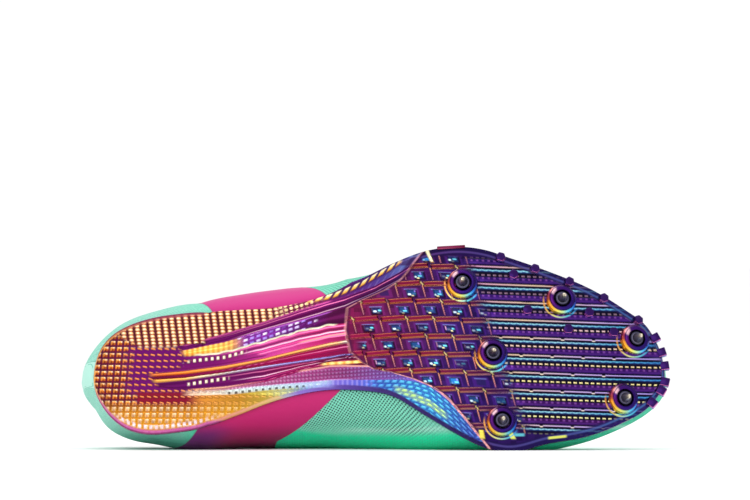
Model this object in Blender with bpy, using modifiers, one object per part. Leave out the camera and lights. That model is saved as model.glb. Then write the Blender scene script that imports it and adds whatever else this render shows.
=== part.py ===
"""Track spike shoe for the right foot, lying on its medial side.

Every piece is worked out standing, in millimetres: +X from heel to toe, +Y to the medial side,
+Z up, with the ball of the sole at height 0. lay_down() then turns it onto its side, so that the
edge of the sole and the medial wall of the upper both touch the floor, and converts it to metres.
"""

import bpy
import bmesh
import numpy as np
from math import atan2, cos, pi, radians, sin
from mathutils import Matrix, Vector

# Driving sizes, in millimetres and degrees

UPPER_LENGTH = 283.0
PLATE_START = 6.0
PLATE_LENGTH = 276.0
HEEL_WIDTH = 58.0
BALL_WIDTH = 97.4
HEEL_HEIGHT = 66.0
INSTEP_HEIGHT = 70.0
HEEL_RISE = 9.5
TOE_SPRING = 21.0

WALL = 1.5
EYESTAY_WIDTH = 15.0
EYESTAY_STEP = 0.6
COLLAR_BAND = 7.0
TAPE_STEP = 0.5
STEP_RUN = 0.5
THROAT_CORNER = 0.006

INSET_LIMIT = 32.0
FEATHER_INSET = 3.4
INTURN_WIDTH = 9.0
FEATHER_BACK = 2.5
CROWN_BACK = 9.0
CROWN_FRONT = 19.0

PLATE_THICKNESS = 3.8
LIP_THICKNESS = 1.6
RIDGE_DEPTH = 1.5
TIP_ROUNDING = 6.0

BOSS_HEIGHT = 3.6
SOCKET_RADIUS = 3.7
SOCKET_DEPTH = 2.8
PIN_ROOT_RADIUS = 2.6
PIN_TIP_RADIUS = 0.9
PIN_LENGTH = 7.6
PIN_COLLAR = 2.2

LUG_RADIUS = 2.7
LUG_HEIGHT = 2.2
LUG_BEVEL = 0.5
LUG_SPACING = 16.6
LUG_INSET = 1.8
TOOTH_WIDTH = 4.2
TOOTH_LENGTH = 4.4
TOOTH_HEIGHT = 3.5
TOOTH_PROUD = 2.4
TOOTH_DROP = 0.6

INSOLE_THICKNESS = 3.2
INSOLE_INSET = 5.5
TONGUE_THICKNESS = 2.4
TONGUE_TUCK = 10.0
TONGUE_TOP_TUCK = 2.0
TONGUE_RISE = 26.0
TONGUE_TAPER = 0.36
TONGUE_GAP = 0.9
NARROW_THROAT = 4.0
CREST = 0.10
EYELET_ROWS = 6
EYELET_RADIUS = 2.3
EYELET_INSET = 6.5
LACE_RADIUS = 1.4
LACE_LIFT = 0.6
LACE_CREST = 0.5

CLEARANCE = 0.3
LEAN = 15.0
PRESS = 0.8
MM = 0.001


def table(names, *rows):
    """A table with named columns, one row for each place."""
    return {name: np.array(values) for name, values in zip(names.split(), zip(*rows))}


# The outline of the plate: places along its length, edges as shares of the shoe's width there
PLATE = table(
    "along lateral medial",
    (0.000, 0.000, 0.000),
    (0.014, -0.262, 0.226),
    (0.033, -0.364, 0.347),
    (0.058, -0.434, 0.440),
    (0.094, -0.493, 0.490),
    (0.141, -0.534, 0.478),
    (0.196, -0.553, 0.422),
    (0.250, -0.509, 0.287),
    (0.304, -0.468, 0.168),
    (0.359, -0.455, 0.092),
    (0.413, -0.467, 0.056),
    (0.467, -0.513, 0.058),
    (0.522, -0.585, 0.091),
    (0.576, -0.640, 0.188),
    (0.630, -0.662, 0.284),
    (0.685, -0.648, 0.360),
    (0.721, -0.617, 0.380),
    (0.793, -0.551, 0.331),
    (0.866, -0.474, 0.280),
    (0.928, -0.380, 0.196),
    (0.967, -0.305, 0.118),
    (0.986, -0.222, 0.052),
    (1.000, -0.050, -0.050),
)

# The side view of the sole: heights as shares of the heel's rise and of the toe spring
SPINE = table(
    "along heel toe",
    (0.000, 1.00, 0.00),
    (0.050, 0.66, 0.00),
    (0.105, 0.45, 0.00),
    (0.210, 0.43, 0.00),
    (0.320, 0.64, 0.00),
    (0.420, 0.80, 0.00),
    (0.510, 0.52, 0.00),
    (0.580, 0.16, 0.00),
    (0.650, 0.02, 0.00),
    (0.720, 0.00, 0.08),
    (0.810, 0.00, 0.22),
    (0.880, 0.00, 0.41),
    (0.925, 0.00, 0.59),
    (0.965, 0.00, 0.79),
    (1.000, 0.00, 1.00),
)

# Across the plate, edge to edge: how far its ridges stand down, as shares of the ridge depth
ACROSS = table(
    "share heel waist ball",
    (-1.00, 0.00, 0.00, 0.00),
    (-0.90, 0.10, 0.00, 0.70),
    (-0.72, 0.40, 0.10, 0.90),
    (-0.56, 0.20, 1.00, 1.00),
    (-0.42, 0.40, 0.10, 0.90),
    (-0.27, 0.30, 1.00, 1.00),
    (-0.13, 0.50, 0.10, 0.90),
    (0.02, 0.40, 1.00, 1.00),
    (0.17, 0.50, 0.10, 0.90),
    (0.32, 0.30, 0.90, 1.00),
    (0.47, 0.40, 0.10, 0.90),
    (0.64, 0.20, 0.10, 0.90),
    (0.82, 0.10, 0.00, 0.60),
    (1.00, 0.00, 0.00, 0.00),
)

# Along the plate: which of those columns stands, and how much
RELIEF = table(
    "along heel waist ball",
    (0.00, 0, 0, 0),
    (0.20, 1, 0, 0),
    (0.32, 0, 1, 0),
    (0.50, 0, 1, 0),
    (0.62, 0, 0, 1),
    (0.97, 0, 0, 1),
    (1.00, 0, 0, 0),
)

# The upper's wall on each side: its widest line and its top edge or ridge, as shares of the
# shoe's width and height there, and how far its arch has closed at that edge, in degrees
WALL_COLUMNS = "along wide wide_up crown crown_up closing"
LATERAL_WALL = table(
    WALL_COLUMNS,
    (0.000, -0.050, 0.27, -0.035, 1.00, 45),
    (0.007, -0.210, 0.27, -0.125, 1.00, 45),
    (0.018, -0.300, 0.27, -0.185, 0.99, 45),
    (0.035, -0.400, 0.27, -0.262, 0.98, 45),
    (0.070, -0.534, 0.28, -0.362, 0.94, 45),
    (0.123, -0.635, 0.30, -0.434, 0.86, 45),
    (0.193, -0.712, 0.33, -0.490, 0.76, 45),
    (0.281, -0.668, 0.35, -0.392, 0.83, 50),
    (0.340, -0.628, 0.37, -0.300, 1.00, 55),
    (0.439, -0.560, 0.34, -0.225, 0.94, 62),
    (0.509, -0.578, 0.27, -0.205, 0.86, 66),
    (0.579, -0.605, 0.21, -0.185, 0.77, 72),
    (0.649, -0.618, 0.18, -0.150, 0.69, 80),
    (0.692, -0.606, 0.17, -0.112, 0.65, 88),
    (0.715, -0.598, 0.16, -0.055, 0.635, 90),
    (0.789, -0.534, 0.16, -0.040, 0.585, 90),
    (0.860, -0.452, 0.16, -0.030, 0.515, 90),
    (0.919, -0.364, 0.16, -0.036, 0.45, 90),
    (0.958, -0.302, 0.16, -0.050, 0.41, 90),
    (0.986, -0.208, 0.16, -0.062, 0.385, 90),
    (1.000, -0.065, 0.16, -0.065, 0.38, 90),
)
MEDIAL_WALL = table(
    WALL_COLUMNS,
    (0.000, -0.050, 0.27, -0.035, 1.00, 45),
    (0.007, 0.035, 0.27, 0.030, 1.00, 45),
    (0.018, 0.105, 0.27, 0.080, 0.99, 45),
    (0.035, 0.245, 0.27, 0.178, 0.98, 45),
    (0.070, 0.365, 0.28, 0.258, 0.94, 45),
    (0.123, 0.444, 0.29, 0.307, 0.86, 42),
    (0.193, 0.510, 0.30, 0.335, 0.76, 40),
    (0.281, 0.372, 0.38, 0.218, 0.83, 45),
    (0.340, 0.315, 0.42, 0.125, 1.00, 52),
    (0.439, 0.262, 0.46, 0.090, 0.94, 60),
    (0.509, 0.280, 0.43, 0.082, 0.86, 66),
    (0.579, 0.310, 0.34, 0.056, 0.77, 72),
    (0.649, 0.322, 0.24, 0.026, 0.69, 80),
    (0.692, 0.334, 0.20, -0.004, 0.65, 88),
    (0.715, 0.337, 0.19, -0.055, 0.635, 90),
    (0.789, 0.329, 0.17, -0.040, 0.585, 90),
    (0.860, 0.278, 0.16, -0.030, 0.515, 90),
    (0.919, 0.200, 0.16, -0.036, 0.45, 90),
    (0.958, 0.128, 0.16, -0.050, 0.41, 90),
    (0.986, 0.048, 0.16, -0.062, 0.385, 90),
    (1.000, -0.065, 0.16, -0.065, 0.38, 90),
)
WALLS = {"lateral": LATERAL_WALL, "medial": MEDIAL_WALL}

# Where the shoe's width changes from the heel's to the ball's, and its height to the instep's
WIDTH_BLEND = (0.20, 0.45)
HEIGHT_BLEND = (0.20, 0.34)
THROAT_FRONT = 0.715
THROAT_BACK = 0.340
EYESTAY_FRONT = 0.765
HEEL_TAPE_END = 0.0042
HEEL_TAPE_FOOT = 0.0048
EYELET_SPAN = (0.370, 0.670)
QUARTER_SPAN = (0.08, 0.40)
BALL_EDGE_SPAN = (0.55, 0.90)

# The spikes: places along the plate, and across it from the lateral edge at -1 to the medial at 1
SPIKES = table(
    "along across",
    (0.644, -0.60),
    (0.697, 0.045),
    (0.714, 0.70),
    (0.817, -0.70),
    (0.926, 0.60),
    (0.946, -0.505),
)

# The boss round each spike, turned: its radii and its heights above the underside
BOSS = table(
    "radius height",
    (7.0, -1.6),
    (7.0, 2.2),
    (6.4, 3.2),
    (5.4, 3.6),
    (4.2, 3.1),
)

# Hexagonal lugs inside the row along the lateral edge, placed as the spikes are
INNER_LUGS = table(
    "along across",
    (0.733, -0.825),
    (0.758, -0.485),
    (0.829, -0.355),
    (0.865, -0.645),
    (0.908, -0.49),
)
EDGE_LUG_COUNT = 5
EDGE_LUG_START = 0.710145

# The teeth round the toe: places along the plate on its lateral and medial edges
TEETH = (("lateral", 0.982), ("lateral", 0.993), ("lateral", 0.9985),
         ("medial", 0.9992), ("medial", 0.993), ("medial", 0.977))

COLOURS = {
    "upper": ((0.33, 0.75, 0.60), 0.75, 0.0),
    "outsole_plate": ((0.18, 0.05, 0.30), 0.22, 0.6),
    "spike_pin": ((0.62, 0.63, 0.66), 0.25, 1.0),
    "insole": ((0.10, 0.10, 0.12), 0.85, 0.0),
    "tongue": ((0.40, 0.78, 0.65), 0.8, 0.0),
    "lace": ((0.85, 0.15, 0.40), 0.7, 0.0),
}


# Curves

def smooth(at, places, values):
    """A smooth curve through the rows of a table."""
    slopes = np.gradient(values, places)
    row = np.clip(np.searchsorted(places, at) - 1, 0, len(places) - 2)
    span = places[row + 1] - places[row]
    t = np.clip((at - places[row]) / span, 0.0, 1.0)
    rise = values[row + 1] - values[row]
    start_slope = slopes[row] * span
    end_slope = slopes[row + 1] * span
    return values[row] + t * (start_slope + t * (3 * rise - 2 * start_slope - end_slope
                                                 + t * (start_slope + end_slope - 2 * rise)))


def turn_of(along):
    """Places along a rounded outline become even turns round it, close together at its ends."""
    return np.arccos(np.clip(1 - 2 * np.asarray(along, dtype=float), -1, 1)) / pi


def along_of(turn):
    return (1 - np.cos(pi * np.asarray(turn))) / 2


def column(rows, name, along):
    return smooth(turn_of(along), turn_of(rows["along"]), rows[name])


def blend(along, start, end, span):
    return start + (end - start) * np.clip((along - span[0]) / (span[1] - span[0]), 0, 1)


def width_at(along):
    return blend(along, HEEL_WIDTH, BALL_WIDTH, WIDTH_BLEND)


def height_at(along):
    return blend(along, HEEL_HEIGHT, INSTEP_HEIGHT, HEIGHT_BLEND)


# The plate's surfaces

def sole_height(x):
    """Height of the sole's underside along its middle."""
    along = np.asarray(x) / (PLATE_START + PLATE_LENGTH)
    back = smooth(along, SPINE["along"], SPINE["heel"])
    front = smooth(along, SPINE["along"], SPINE["toe"])
    return HEEL_RISE * back + TOE_SPRING * front


def bed_height(x):
    """Height at which the upper's turned-in edge lies on the plate."""
    return sole_height(x) + PLATE_THICKNESS + CLEARANCE


def plate_edges(x):
    along = np.clip((np.asarray(x) - PLATE_START) / PLATE_LENGTH, 0, 1)
    width = width_at(along)
    return column(PLATE, "lateral", along) * width, column(PLATE, "medial", along) * width


def plate_point(x, across):
    """A point on the smooth underside, with across running from -1 to 1."""
    lateral, medial = plate_edges(x)
    half = (medial - lateral) / 2
    y = (lateral + medial) / 2 + across * half
    tip = np.exp(-half / TIP_ROUNDING)
    edge = across ** 4
    lift = (PLATE_THICKNESS - LIP_THICKNESS) * (edge + tip - edge * tip)
    return x, y, sole_height(x) + lift


# Laying the shoe on its side

def find_rest():
    """The turn and shift that lay the shoe on the wall beside its heel and the edge of its ball."""
    quarter = np.vstack([wall_profile("medial", along) for along in np.linspace(*QUARTER_SPAN, 33)])
    x = PLATE_START + PLATE_LENGTH * np.linspace(*BALL_EDGE_SPAN, 36)
    edge = np.array(plate_point(x, 1.0)).T
    lean = Matrix.Rotation(-radians(90 + LEAN), 3, "X")
    roll = 0.0
    for _ in range(8):
        turn = Matrix.Rotation(roll, 3, "Y") @ lean
        back = min(quarter @ np.array(turn).T, key=lambda point: point[2])
        front = min(edge @ np.array(turn).T, key=lambda point: point[2])
        roll += atan2(front[2] - back[2], front[0] - back[0])
    return turn, -min(back[2], front[2]) - PRESS


def lay_down(points, rest):
    """Standing points in millimetres become points of the lying shoe, in metres."""
    turn, drop = rest
    laid = np.asarray(points) @ np.array(turn).T
    return (laid + (0.0, 0.0, drop)) * MM


def laid_matrix(rest):
    turn, drop = rest
    return Matrix.Scale(MM, 4) @ Matrix.Translation((0, 0, drop)) @ turn.to_4x4()


# Making objects

def clear_scene():
    for thing in list(bpy.data.objects):
        bpy.data.objects.remove(thing, do_unlink=True)


def material(name):
    colour, roughness, metallic = COLOURS[name]
    made = bpy.data.materials.get(name) or bpy.data.materials.new(name)
    made.use_nodes = True
    shader = made.node_tree.nodes["Principled BSDF"]
    shader.inputs["Base Color"].default_value = (*colour, 1)
    shader.inputs["Roughness"].default_value = roughness
    shader.inputs["Metallic"].default_value = metallic
    return made


def add_object(name, mesh, collection, finish):
    thing = bpy.data.objects.new(name, mesh)
    thing.data.materials.clear()
    thing.data.materials.append(material(finish))
    collection.objects.link(thing)
    return thing


def mesh_from(bm, name, smooth_angle=35):
    mesh = bpy.data.meshes.new(name)
    bm.to_mesh(mesh)
    bm.free()
    mesh.shade_smooth()
    mesh.set_sharp_from_angle(angle=radians(smooth_angle))
    return mesh


def loft(bm, grid):
    """Quads between the rows of a grid of points, with its vertices returned row by row."""
    rows = [[bm.verts.new(point) for point in row] for row in grid]
    for near, far in zip(rows, rows[1:]):
        for a, b, c, d in zip(near, near[1:], far[1:], far):
            bm.faces.new((a, b, c, d))
    return rows


def weld(bm):
    bmesh.ops.remove_doubles(bm, verts=bm.verts[:], dist=2e-6)
    bmesh.ops.recalc_face_normals(bm, faces=bm.faces[:])


def press_on_floor(bm):
    """What would sink below the floor lies flat on it."""
    for vertex in bm.verts:
        vertex.co.z = max(vertex.co.z, 0.0)


def cutter(name, bm, collection):
    mesh = mesh_from(bm, name)
    thing = bpy.data.objects.new(name, mesh)
    thing.display_type = "WIRE"
    thing.hide_render = True
    collection.objects.link(thing)
    return thing


def add_boolean(thing, other, operation):
    step = thing.modifiers.new(other.name, "BOOLEAN")
    step.object = other
    step.operation = operation
    step.solver = "EXACT"


def sheet_solid(bm, top, bottom):
    """A closed solid between two grids of points of the same size, edge to edge."""
    upper_rows = loft(bm, top)
    lower_rows = loft(bm, bottom)
    for over, under in ((upper_rows[0], lower_rows[0]), (upper_rows[-1], lower_rows[-1]),
                        ([row[0] for row in upper_rows], [row[0] for row in lower_rows]),
                        ([row[-1] for row in upper_rows], [row[-1] for row in lower_rows])):
        for a, b, c, d in zip(over, over[1:], under[1:], under):
            bm.faces.new((a, b, c, d))


# The upper

def wall_profile(side, along):
    """The upper's outer face at one place, from its feather edge up to its top edge."""
    rows = WALLS[side]
    wide_x = UPPER_LENGTH * along
    wide = np.array((wide_x, column(rows, "wide", along) * width_at(along),
                     bed_height(wide_x) + column(rows, "wide_up", along) * height_at(along)))
    crown_x = CROWN_BACK + (UPPER_LENGTH - CROWN_FRONT - CROWN_BACK) * along
    crown_rows = (rows,) if along < THROAT_FRONT else WALLS.values()
    crown_side = np.mean([column(each, "crown", along) for each in crown_rows])
    crown = np.array((crown_x, crown_side * width_at(along),
                      bed_height(crown_x) + column(rows, "crown_up", along) * height_at(along)))
    feather = base_point(side, along, FEATHER_INSET)
    low = np.linspace(0, pi / 2, 5)[:, None]
    lower = feather + (wide - feather) * np.sin(low)
    lower[:, 2] = bed_height(lower[:, 0]) + (wide[2] - bed_height(wide_x)) * (1 - np.cos(low[:, 0]))
    closing = radians(column(rows, "closing", along))
    high = np.linspace(0, closing, 25)[1:, None]
    inward = (1 - np.cos(high)) / (1 - cos(closing))
    upward = np.sin(high) / sin(closing)
    higher = wide + (crown - wide) * np.hstack((inward, inward, upward))
    return np.vstack((lower, higher))


def base_point(side, along, inset):
    """A point on the plate's top, inset from its edge all round."""
    margin = FEATHER_BACK + inset - FEATHER_INSET
    x = PLATE_START + margin + (PLATE_LENGTH - 2 * margin) * along
    width = width_at(along)
    lateral, medial = column(PLATE, "lateral", along) * width, column(PLATE, "medial", along) * width
    reach = (1 - inset / INSET_LIMIT) * (medial - lateral) / 2
    y = (lateral + medial) / 2 + (reach if side == "medial" else -reach)
    return np.array((x, y, bed_height(x)))


def distances(profile):
    steps = np.linalg.norm(np.diff(profile, axis=0), axis=1)
    return np.concatenate(((0.0,), np.cumsum(steps)))


def along_profile(profile, places):
    reach = distances(profile)
    return np.stack([np.interp(places, reach, profile[:, axis]) for axis in range(3)], axis=1)


def wall_rows(side, along):
    """The rows of the upper's wall, with two of them close together at the eyestay's step."""
    profile = wall_profile(side, along)
    reach = distances(profile)
    widest, top = reach[4], reach[-1]
    band = min(blend(along, COLLAR_BAND, EYESTAY_WIDTH, HEIGHT_BLEND), 0.45 * (top - widest))
    even = np.linspace(widest, top - band, 6)[1:]
    edge_rows = (top - band + STEP_RUN, top - band / 2, top)
    places = np.concatenate((even, edge_rows))
    inturn = base_point(side, along, FEATHER_INSET + INTURN_WIDTH)
    return np.vstack((inturn, profile[:5], along_profile(profile, places)))


def upper_stations():
    """Even turns along the upper, and pairs close together where a step begins."""
    even = along_of(np.linspace(0, 1, 36))
    steps = (HEEL_TAPE_END, HEEL_TAPE_FOOT, EYESTAY_FRONT, EYESTAY_FRONT + STEP_RUN / UPPER_LENGTH,
             THROAT_FRONT - THROAT_CORNER, THROAT_FRONT)
    return np.sort(np.concatenate((even, steps)))


def build_upper(rest, parts, cutters):
    stations = upper_stations()
    bm = bmesh.new()
    raised = bm.verts.layers.float.new("raised")
    for side in ("lateral", "medial"):
        grid = [lay_down(wall_rows(side, along), rest) for along in stations]
        for along, row in zip(stations, loft(bm, grid)):
            for vertex in row[2:]:
                if along <= HEEL_TAPE_END:
                    vertex[raised] = TAPE_STEP * MM
            for vertex in row[-3:]:
                if along <= EYESTAY_FRONT:
                    vertex[raised] += EYESTAY_STEP * MM
    weld(bm)
    bm.normal_update()
    for vertex in bm.verts:
        vertex.co += vertex.normal * vertex[raised]
    press_on_floor(bm)
    upper = add_object("upper", mesh_from(bm, "upper"), parts, "upper")
    shell = upper.modifiers.new("wall", "SOLIDIFY")
    shell.thickness = WALL * MM
    shell.offset = -1
    shell.use_even_offset = True
    add_boolean(upper, eyelet_cutter(rest, cutters), "DIFFERENCE")


# Eyelets, laces and tongue

def eyelet_places():
    return np.linspace(*EYELET_SPAN, EYELET_ROWS)


def wall_frame(side, along, below):
    """A point of the wall at a distance below its top edge, and the outward direction there."""
    profile = wall_profile(side, along)
    reach = distances(profile)[-1] - below
    point, ahead = along_profile(profile, (reach - 0.5, reach))
    tangent = ahead - point
    sign = 1 if side == "medial" else -1
    outward = np.array((0.0, tangent[2] * sign, -tangent[1] * sign))
    return ahead, outward / np.linalg.norm(outward)


def eyelet_cutter(rest, cutters):
    bm = bmesh.new()
    for side in WALLS:
        for along in eyelet_places():
            point, outward = wall_frame(side, along, EYELET_INSET)
            turn = Vector(outward).to_track_quat("Z", "Y").to_matrix().to_4x4()
            place = laid_matrix(rest) @ Matrix.Translation(point) @ turn
            bmesh.ops.create_cone(bm, cap_ends=True, segments=12, radius1=EYELET_RADIUS,
                                  radius2=EYELET_RADIUS, depth=6 * WALL, matrix=place)
    return cutter("eyelet_holes", bm, cutters)


def tongue_line(along):
    """Points across the tongue's top at one place, tucked under both edges of the throat."""
    depth = WALL + TONGUE_GAP
    tuck = blend(along, TONGUE_TOP_TUCK, TONGUE_TUCK, (THROAT_BACK, THROAT_FRONT)) * np.linspace(1, 0, 4)
    sides = []
    for side in ("lateral", "medial"):
        frames = [wall_frame(side, along, below) for below in tuck]
        sides.append([point - outward * depth for point, outward in frames])
    left, right = sides
    opening = np.linalg.norm(left[-1] - right[-1])
    if opening > NARROW_THROAT:
        crest = (left[-1] + right[-1]) / 2 + (0, 0, CREST * opening)
        line = left + [crest] + right[::-1]
    else:
        line = left[:-1] + [(left[-1] + right[-1]) / 2] + right[-2::-1]
    line = np.array(line)
    reach = distances(line)
    places = np.linspace(0, reach[-1], 10)
    return np.stack([smooth(places, reach, line[:, axis]) for axis in range(3)], axis=1)


def build_tongue(rest, parts):
    places = np.linspace(THROAT_FRONT + 0.02, THROAT_BACK, 13)
    lines = [tongue_line(along) for along in places]
    last = lines[-1]
    middle = last.mean(axis=0)
    for step in (0.25, 0.5, 0.75, 1.0):
        shift = np.array((-step, 0.0, 0.35 * step + 0.65 * step ** 2)) * TONGUE_RISE
        narrow = 1 - TONGUE_TAPER * step ** 0.5
        lines.append(middle + (last - middle) * (1, narrow, narrow) + shift)
    bm = bmesh.new()
    loft(bm, [lay_down(line, rest) for line in lines])
    bmesh.ops.recalc_face_normals(bm, faces=bm.faces[:])
    bm.normal_update()
    up = lay_down(np.eye(3), rest)[2] - lay_down(np.zeros((1, 3)), rest)[0]
    if sum(face.normal.dot(Vector(up)) for face in bm.faces) < 0:
        bmesh.ops.reverse_faces(bm, faces=bm.faces[:])
    tongue = add_object("tongue", mesh_from(bm, "tongue"), parts, "tongue")
    pad = tongue.modifiers.new("pad", "SOLIDIFY")
    pad.thickness = TONGUE_THICKNESS * MM
    pad.offset = -1
    pad.use_even_offset = True


def lace_path(along):
    """Over the throat from the lateral eyelet to the medial one."""
    lift = LACE_RADIUS + EYESTAY_STEP + LACE_LIFT
    ends = []
    for side in ("lateral", "medial"):
        frames = [wall_frame(side, along, below) for below in (EYELET_INSET, EYELET_INSET / 2, 0.0)]
        ends.append([point + outward * lift for point, outward in frames])
    left, right = ends
    crest = (left[-1] + right[-1]) / 2
    crest[2] += CREST * np.linalg.norm(left[-1] - right[-1]) + LACE_CREST
    line = np.array(left + [crest] + right[::-1])
    reach = distances(line)
    places = np.linspace(0, reach[-1], 9)
    return np.stack([smooth(places, reach, line[:, axis]) for axis in range(3)], axis=1)


def build_laces(rest, parts):
    for number, along in enumerate(eyelet_places(), start=1):
        points = lay_down(lace_path(along), rest)
        curve = bpy.data.curves.new(f"lace_bar_{number}", "CURVE")
        curve.dimensions = "3D"
        curve.bevel_depth = LACE_RADIUS * MM
        curve.bevel_resolution = 2
        curve.use_fill_caps = True
        spline = curve.splines.new("POLY")
        spline.points.add(len(points) - 1)
        for place, point in zip(spline.points, points):
            place.co = (*point, 1)
        add_object(f"lace_bar_{number}", curve, parts, "lace")


# The insole

def build_insole(rest, parts):
    stations = along_of(np.linspace(0.0, 1.0, 31))
    shares = np.linspace(-1, 1, 5)
    floor = WALL + CLEARANCE
    top, bottom = [], []
    for along in stations:
        ends = np.array([base_point(side, along, FEATHER_INSET + INSOLE_INSET) for side in WALLS])
        middle, half = ends.mean(axis=0), (ends[1] - ends[0]) / 2
        line = middle + half * shares[:, None] + (0, 0, floor)
        bottom.append(lay_down(line, rest))
        top.append(lay_down(line + (0, 0, INSOLE_THICKNESS), rest))
    bm = bmesh.new()
    sheet_solid(bm, top, bottom)
    weld(bm)
    add_object("insole", mesh_from(bm, "insole"), parts, "insole")


# The plate

def plate_mesh(rest):
    """The plate's solid: its ridged underside, its edges and its smooth top."""
    stations = along_of(np.linspace(0, 1, 53))
    bm = bmesh.new()
    under, over = [], []
    for along in stations:
        x = PLATE_START + PLATE_LENGTH * along
        line = np.array([plate_point(x, share) for share in ACROSS["share"]])
        for name in ("heel", "waist", "ball"):
            share = np.interp(along, RELIEF["along"], RELIEF[name])
            line[:, 2] -= RIDGE_DEPTH * share * ACROSS[name]
        under.append(lay_down(line, rest))
        lateral, medial = plate_edges(x)
        top = sole_height(x) + PLATE_THICKNESS
        over.append(lay_down(((x, lateral, top), (x, medial, top)), rest))
    under_rows = loft(bm, under)
    over_rows = loft(bm, over)
    for end in (0, -1):
        low = [row[end] for row in under_rows]
        high = [row[end] for row in over_rows]
        for a, b, c, d in zip(low, low[1:], high[1:], high):
            bm.faces.new((a, b, c, d))
    weld(bm)
    press_on_floor(bm)
    return bm


def plate_frame(x, across):
    """A place on the underside, with its Z axis pointing out of the sole."""
    point = np.array(plate_point(x, across))
    ahead = np.array(plate_point(x + 1.0, across))
    aside = np.array(plate_point(x, across + 0.02))
    outward = np.cross(aside - point, ahead - point)
    turn = Vector(outward).to_track_quat("Z", "Y").to_matrix().to_4x4()
    return Matrix.Translation(point) @ turn


def spike_frames():
    frames = []
    for along, across in zip(SPIKES["along"], SPIKES["across"]):
        frames.append(plate_frame(PLATE_START + PLATE_LENGTH * along, across))
    return frames


def turned(bm, profile, place, segments):
    """A solid turned from a profile of radii and heights, closed at both ends."""
    ring = None
    start = None
    for radius, height in profile:
        made = [bm.verts.new(place @ Vector((radius * cos(2 * pi * i / segments),
                                             radius * sin(2 * pi * i / segments), height)))
                for i in range(segments)]
        if ring is None:
            start = made
        else:
            for i in range(segments):
                j = (i + 1) % segments
                bm.faces.new((ring[i], ring[j], made[j], made[i]))
        ring = made
    bm.faces.new(start[::-1])
    bm.faces.new(ring)


def build_plate(rest, parts, cutters):
    plate = add_object("outsole_plate", mesh_from(plate_mesh(rest), "outsole_plate"), parts,
                       "outsole_plate")
    laid = laid_matrix(rest)
    bosses = bmesh.new()
    for frame in spike_frames():
        turned(bosses, tuple(zip(BOSS["radius"], BOSS["height"])), laid @ frame, 20)
    add_boolean(plate, cutter("bosses", bosses, cutters), "UNION")
    lugs = bmesh.new()
    hexagon = ((LUG_RADIUS, -LIP_THICKNESS), (LUG_RADIUS, LUG_HEIGHT - LUG_BEVEL),
               (LUG_RADIUS - LUG_BEVEL, LUG_HEIGHT))
    for index in range(EDGE_LUG_COUNT):
        x = PLATE_START + PLATE_LENGTH * EDGE_LUG_START + index * LUG_SPACING
        lateral, medial = plate_edges(x)
        across = -1 + 2 * LUG_INSET / (medial - lateral)
        turned(lugs, hexagon, laid @ plate_frame(x, across), 6)
    for along, across in zip(INNER_LUGS["along"], INNER_LUGS["across"]):
        turned(lugs, hexagon, laid @ plate_frame(PLATE_START + PLATE_LENGTH * along, across), 6)
    add_boolean(plate, cutter("lugs", lugs, cutters), "UNION")
    # Neighbouring teeth may meet on a smaller toe, so they are joined in two turns
    for turn in (0, 1):
        teeth = bmesh.new()
        for side, along in TEETH[turn::2]:
            add_tooth(teeth, side, along, laid)
        add_boolean(plate, cutter(f"teeth_{turn + 1}", teeth, cutters), "UNION")
    sockets = bmesh.new()
    hole = ((SOCKET_RADIUS, BOSS_HEIGHT - SOCKET_DEPTH), (SOCKET_RADIUS, BOSS_HEIGHT + 1.0))
    for frame in spike_frames():
        turned(sockets, hole, laid @ frame, 12)
    add_boolean(plate, cutter("pin_sockets", sockets, cutters), "DIFFERENCE")


def add_tooth(bm, side, along, laid):
    """A square tooth standing out past the edge of the toe, square to that edge."""
    x = PLATE_START + PLATE_LENGTH * along
    before = x - TOOTH_WIDTH / 40
    pick = 0 if side == "lateral" else 1
    y = plate_edges(x)[pick]
    slope_x, slope_y = x - before, y - plate_edges(before)[pick]
    out = Vector((slope_y, -slope_x, 0)) if side == "lateral" else Vector((-slope_y, slope_x, 0))
    out.normalize()
    height = float(sole_height(x)) + TOOTH_HEIGHT / 2 - TOOTH_DROP
    middle = Vector((x, y, height)) + out * (TOOTH_PROUD - TOOTH_LENGTH / 2)
    place = laid @ Matrix.Translation(middle) @ Matrix.Rotation(atan2(out.y, out.x), 4, "Z")
    size = Matrix.Diagonal((TOOTH_LENGTH, TOOTH_WIDTH, TOOTH_HEIGHT, 1))
    bmesh.ops.create_cube(bm, size=1, matrix=place @ size)


def build_pins(rest, parts):
    seat = BOSS_HEIGHT - SOCKET_DEPTH + CLEARANCE
    radius = SOCKET_RADIUS - CLEARANCE
    profile = ((radius, seat), (radius, seat + PIN_COLLAR), (PIN_ROOT_RADIUS, seat + PIN_COLLAR),
               (PIN_TIP_RADIUS, seat + PIN_LENGTH))
    for number, frame in enumerate(spike_frames(), start=1):
        bm = bmesh.new()
        turned(bm, profile, laid_matrix(rest) @ frame, 12)
        bmesh.ops.recalc_face_normals(bm, faces=bm.faces[:])
        add_object(f"spike_pin_{number}", mesh_from(bm, "spike_pin"), parts, "spike_pin")


def centre_on_origin(parts, cutters):
    """The shoe's box is centred over the origin, with the floor at height 0."""
    bpy.context.view_layer.update()
    graph = bpy.context.evaluated_depsgraph_get()
    points = []
    for thing in parts.objects:
        finished = thing.evaluated_get(graph)
        points += [vertex.co[:] for vertex in finished.to_mesh().vertices]
        finished.to_mesh_clear()
    middle = (np.min(points, axis=0) + np.max(points, axis=0)) / 2
    for thing in (*parts.objects, *cutters.objects):
        thing.location = (-middle[0], -middle[1], 0)


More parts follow.
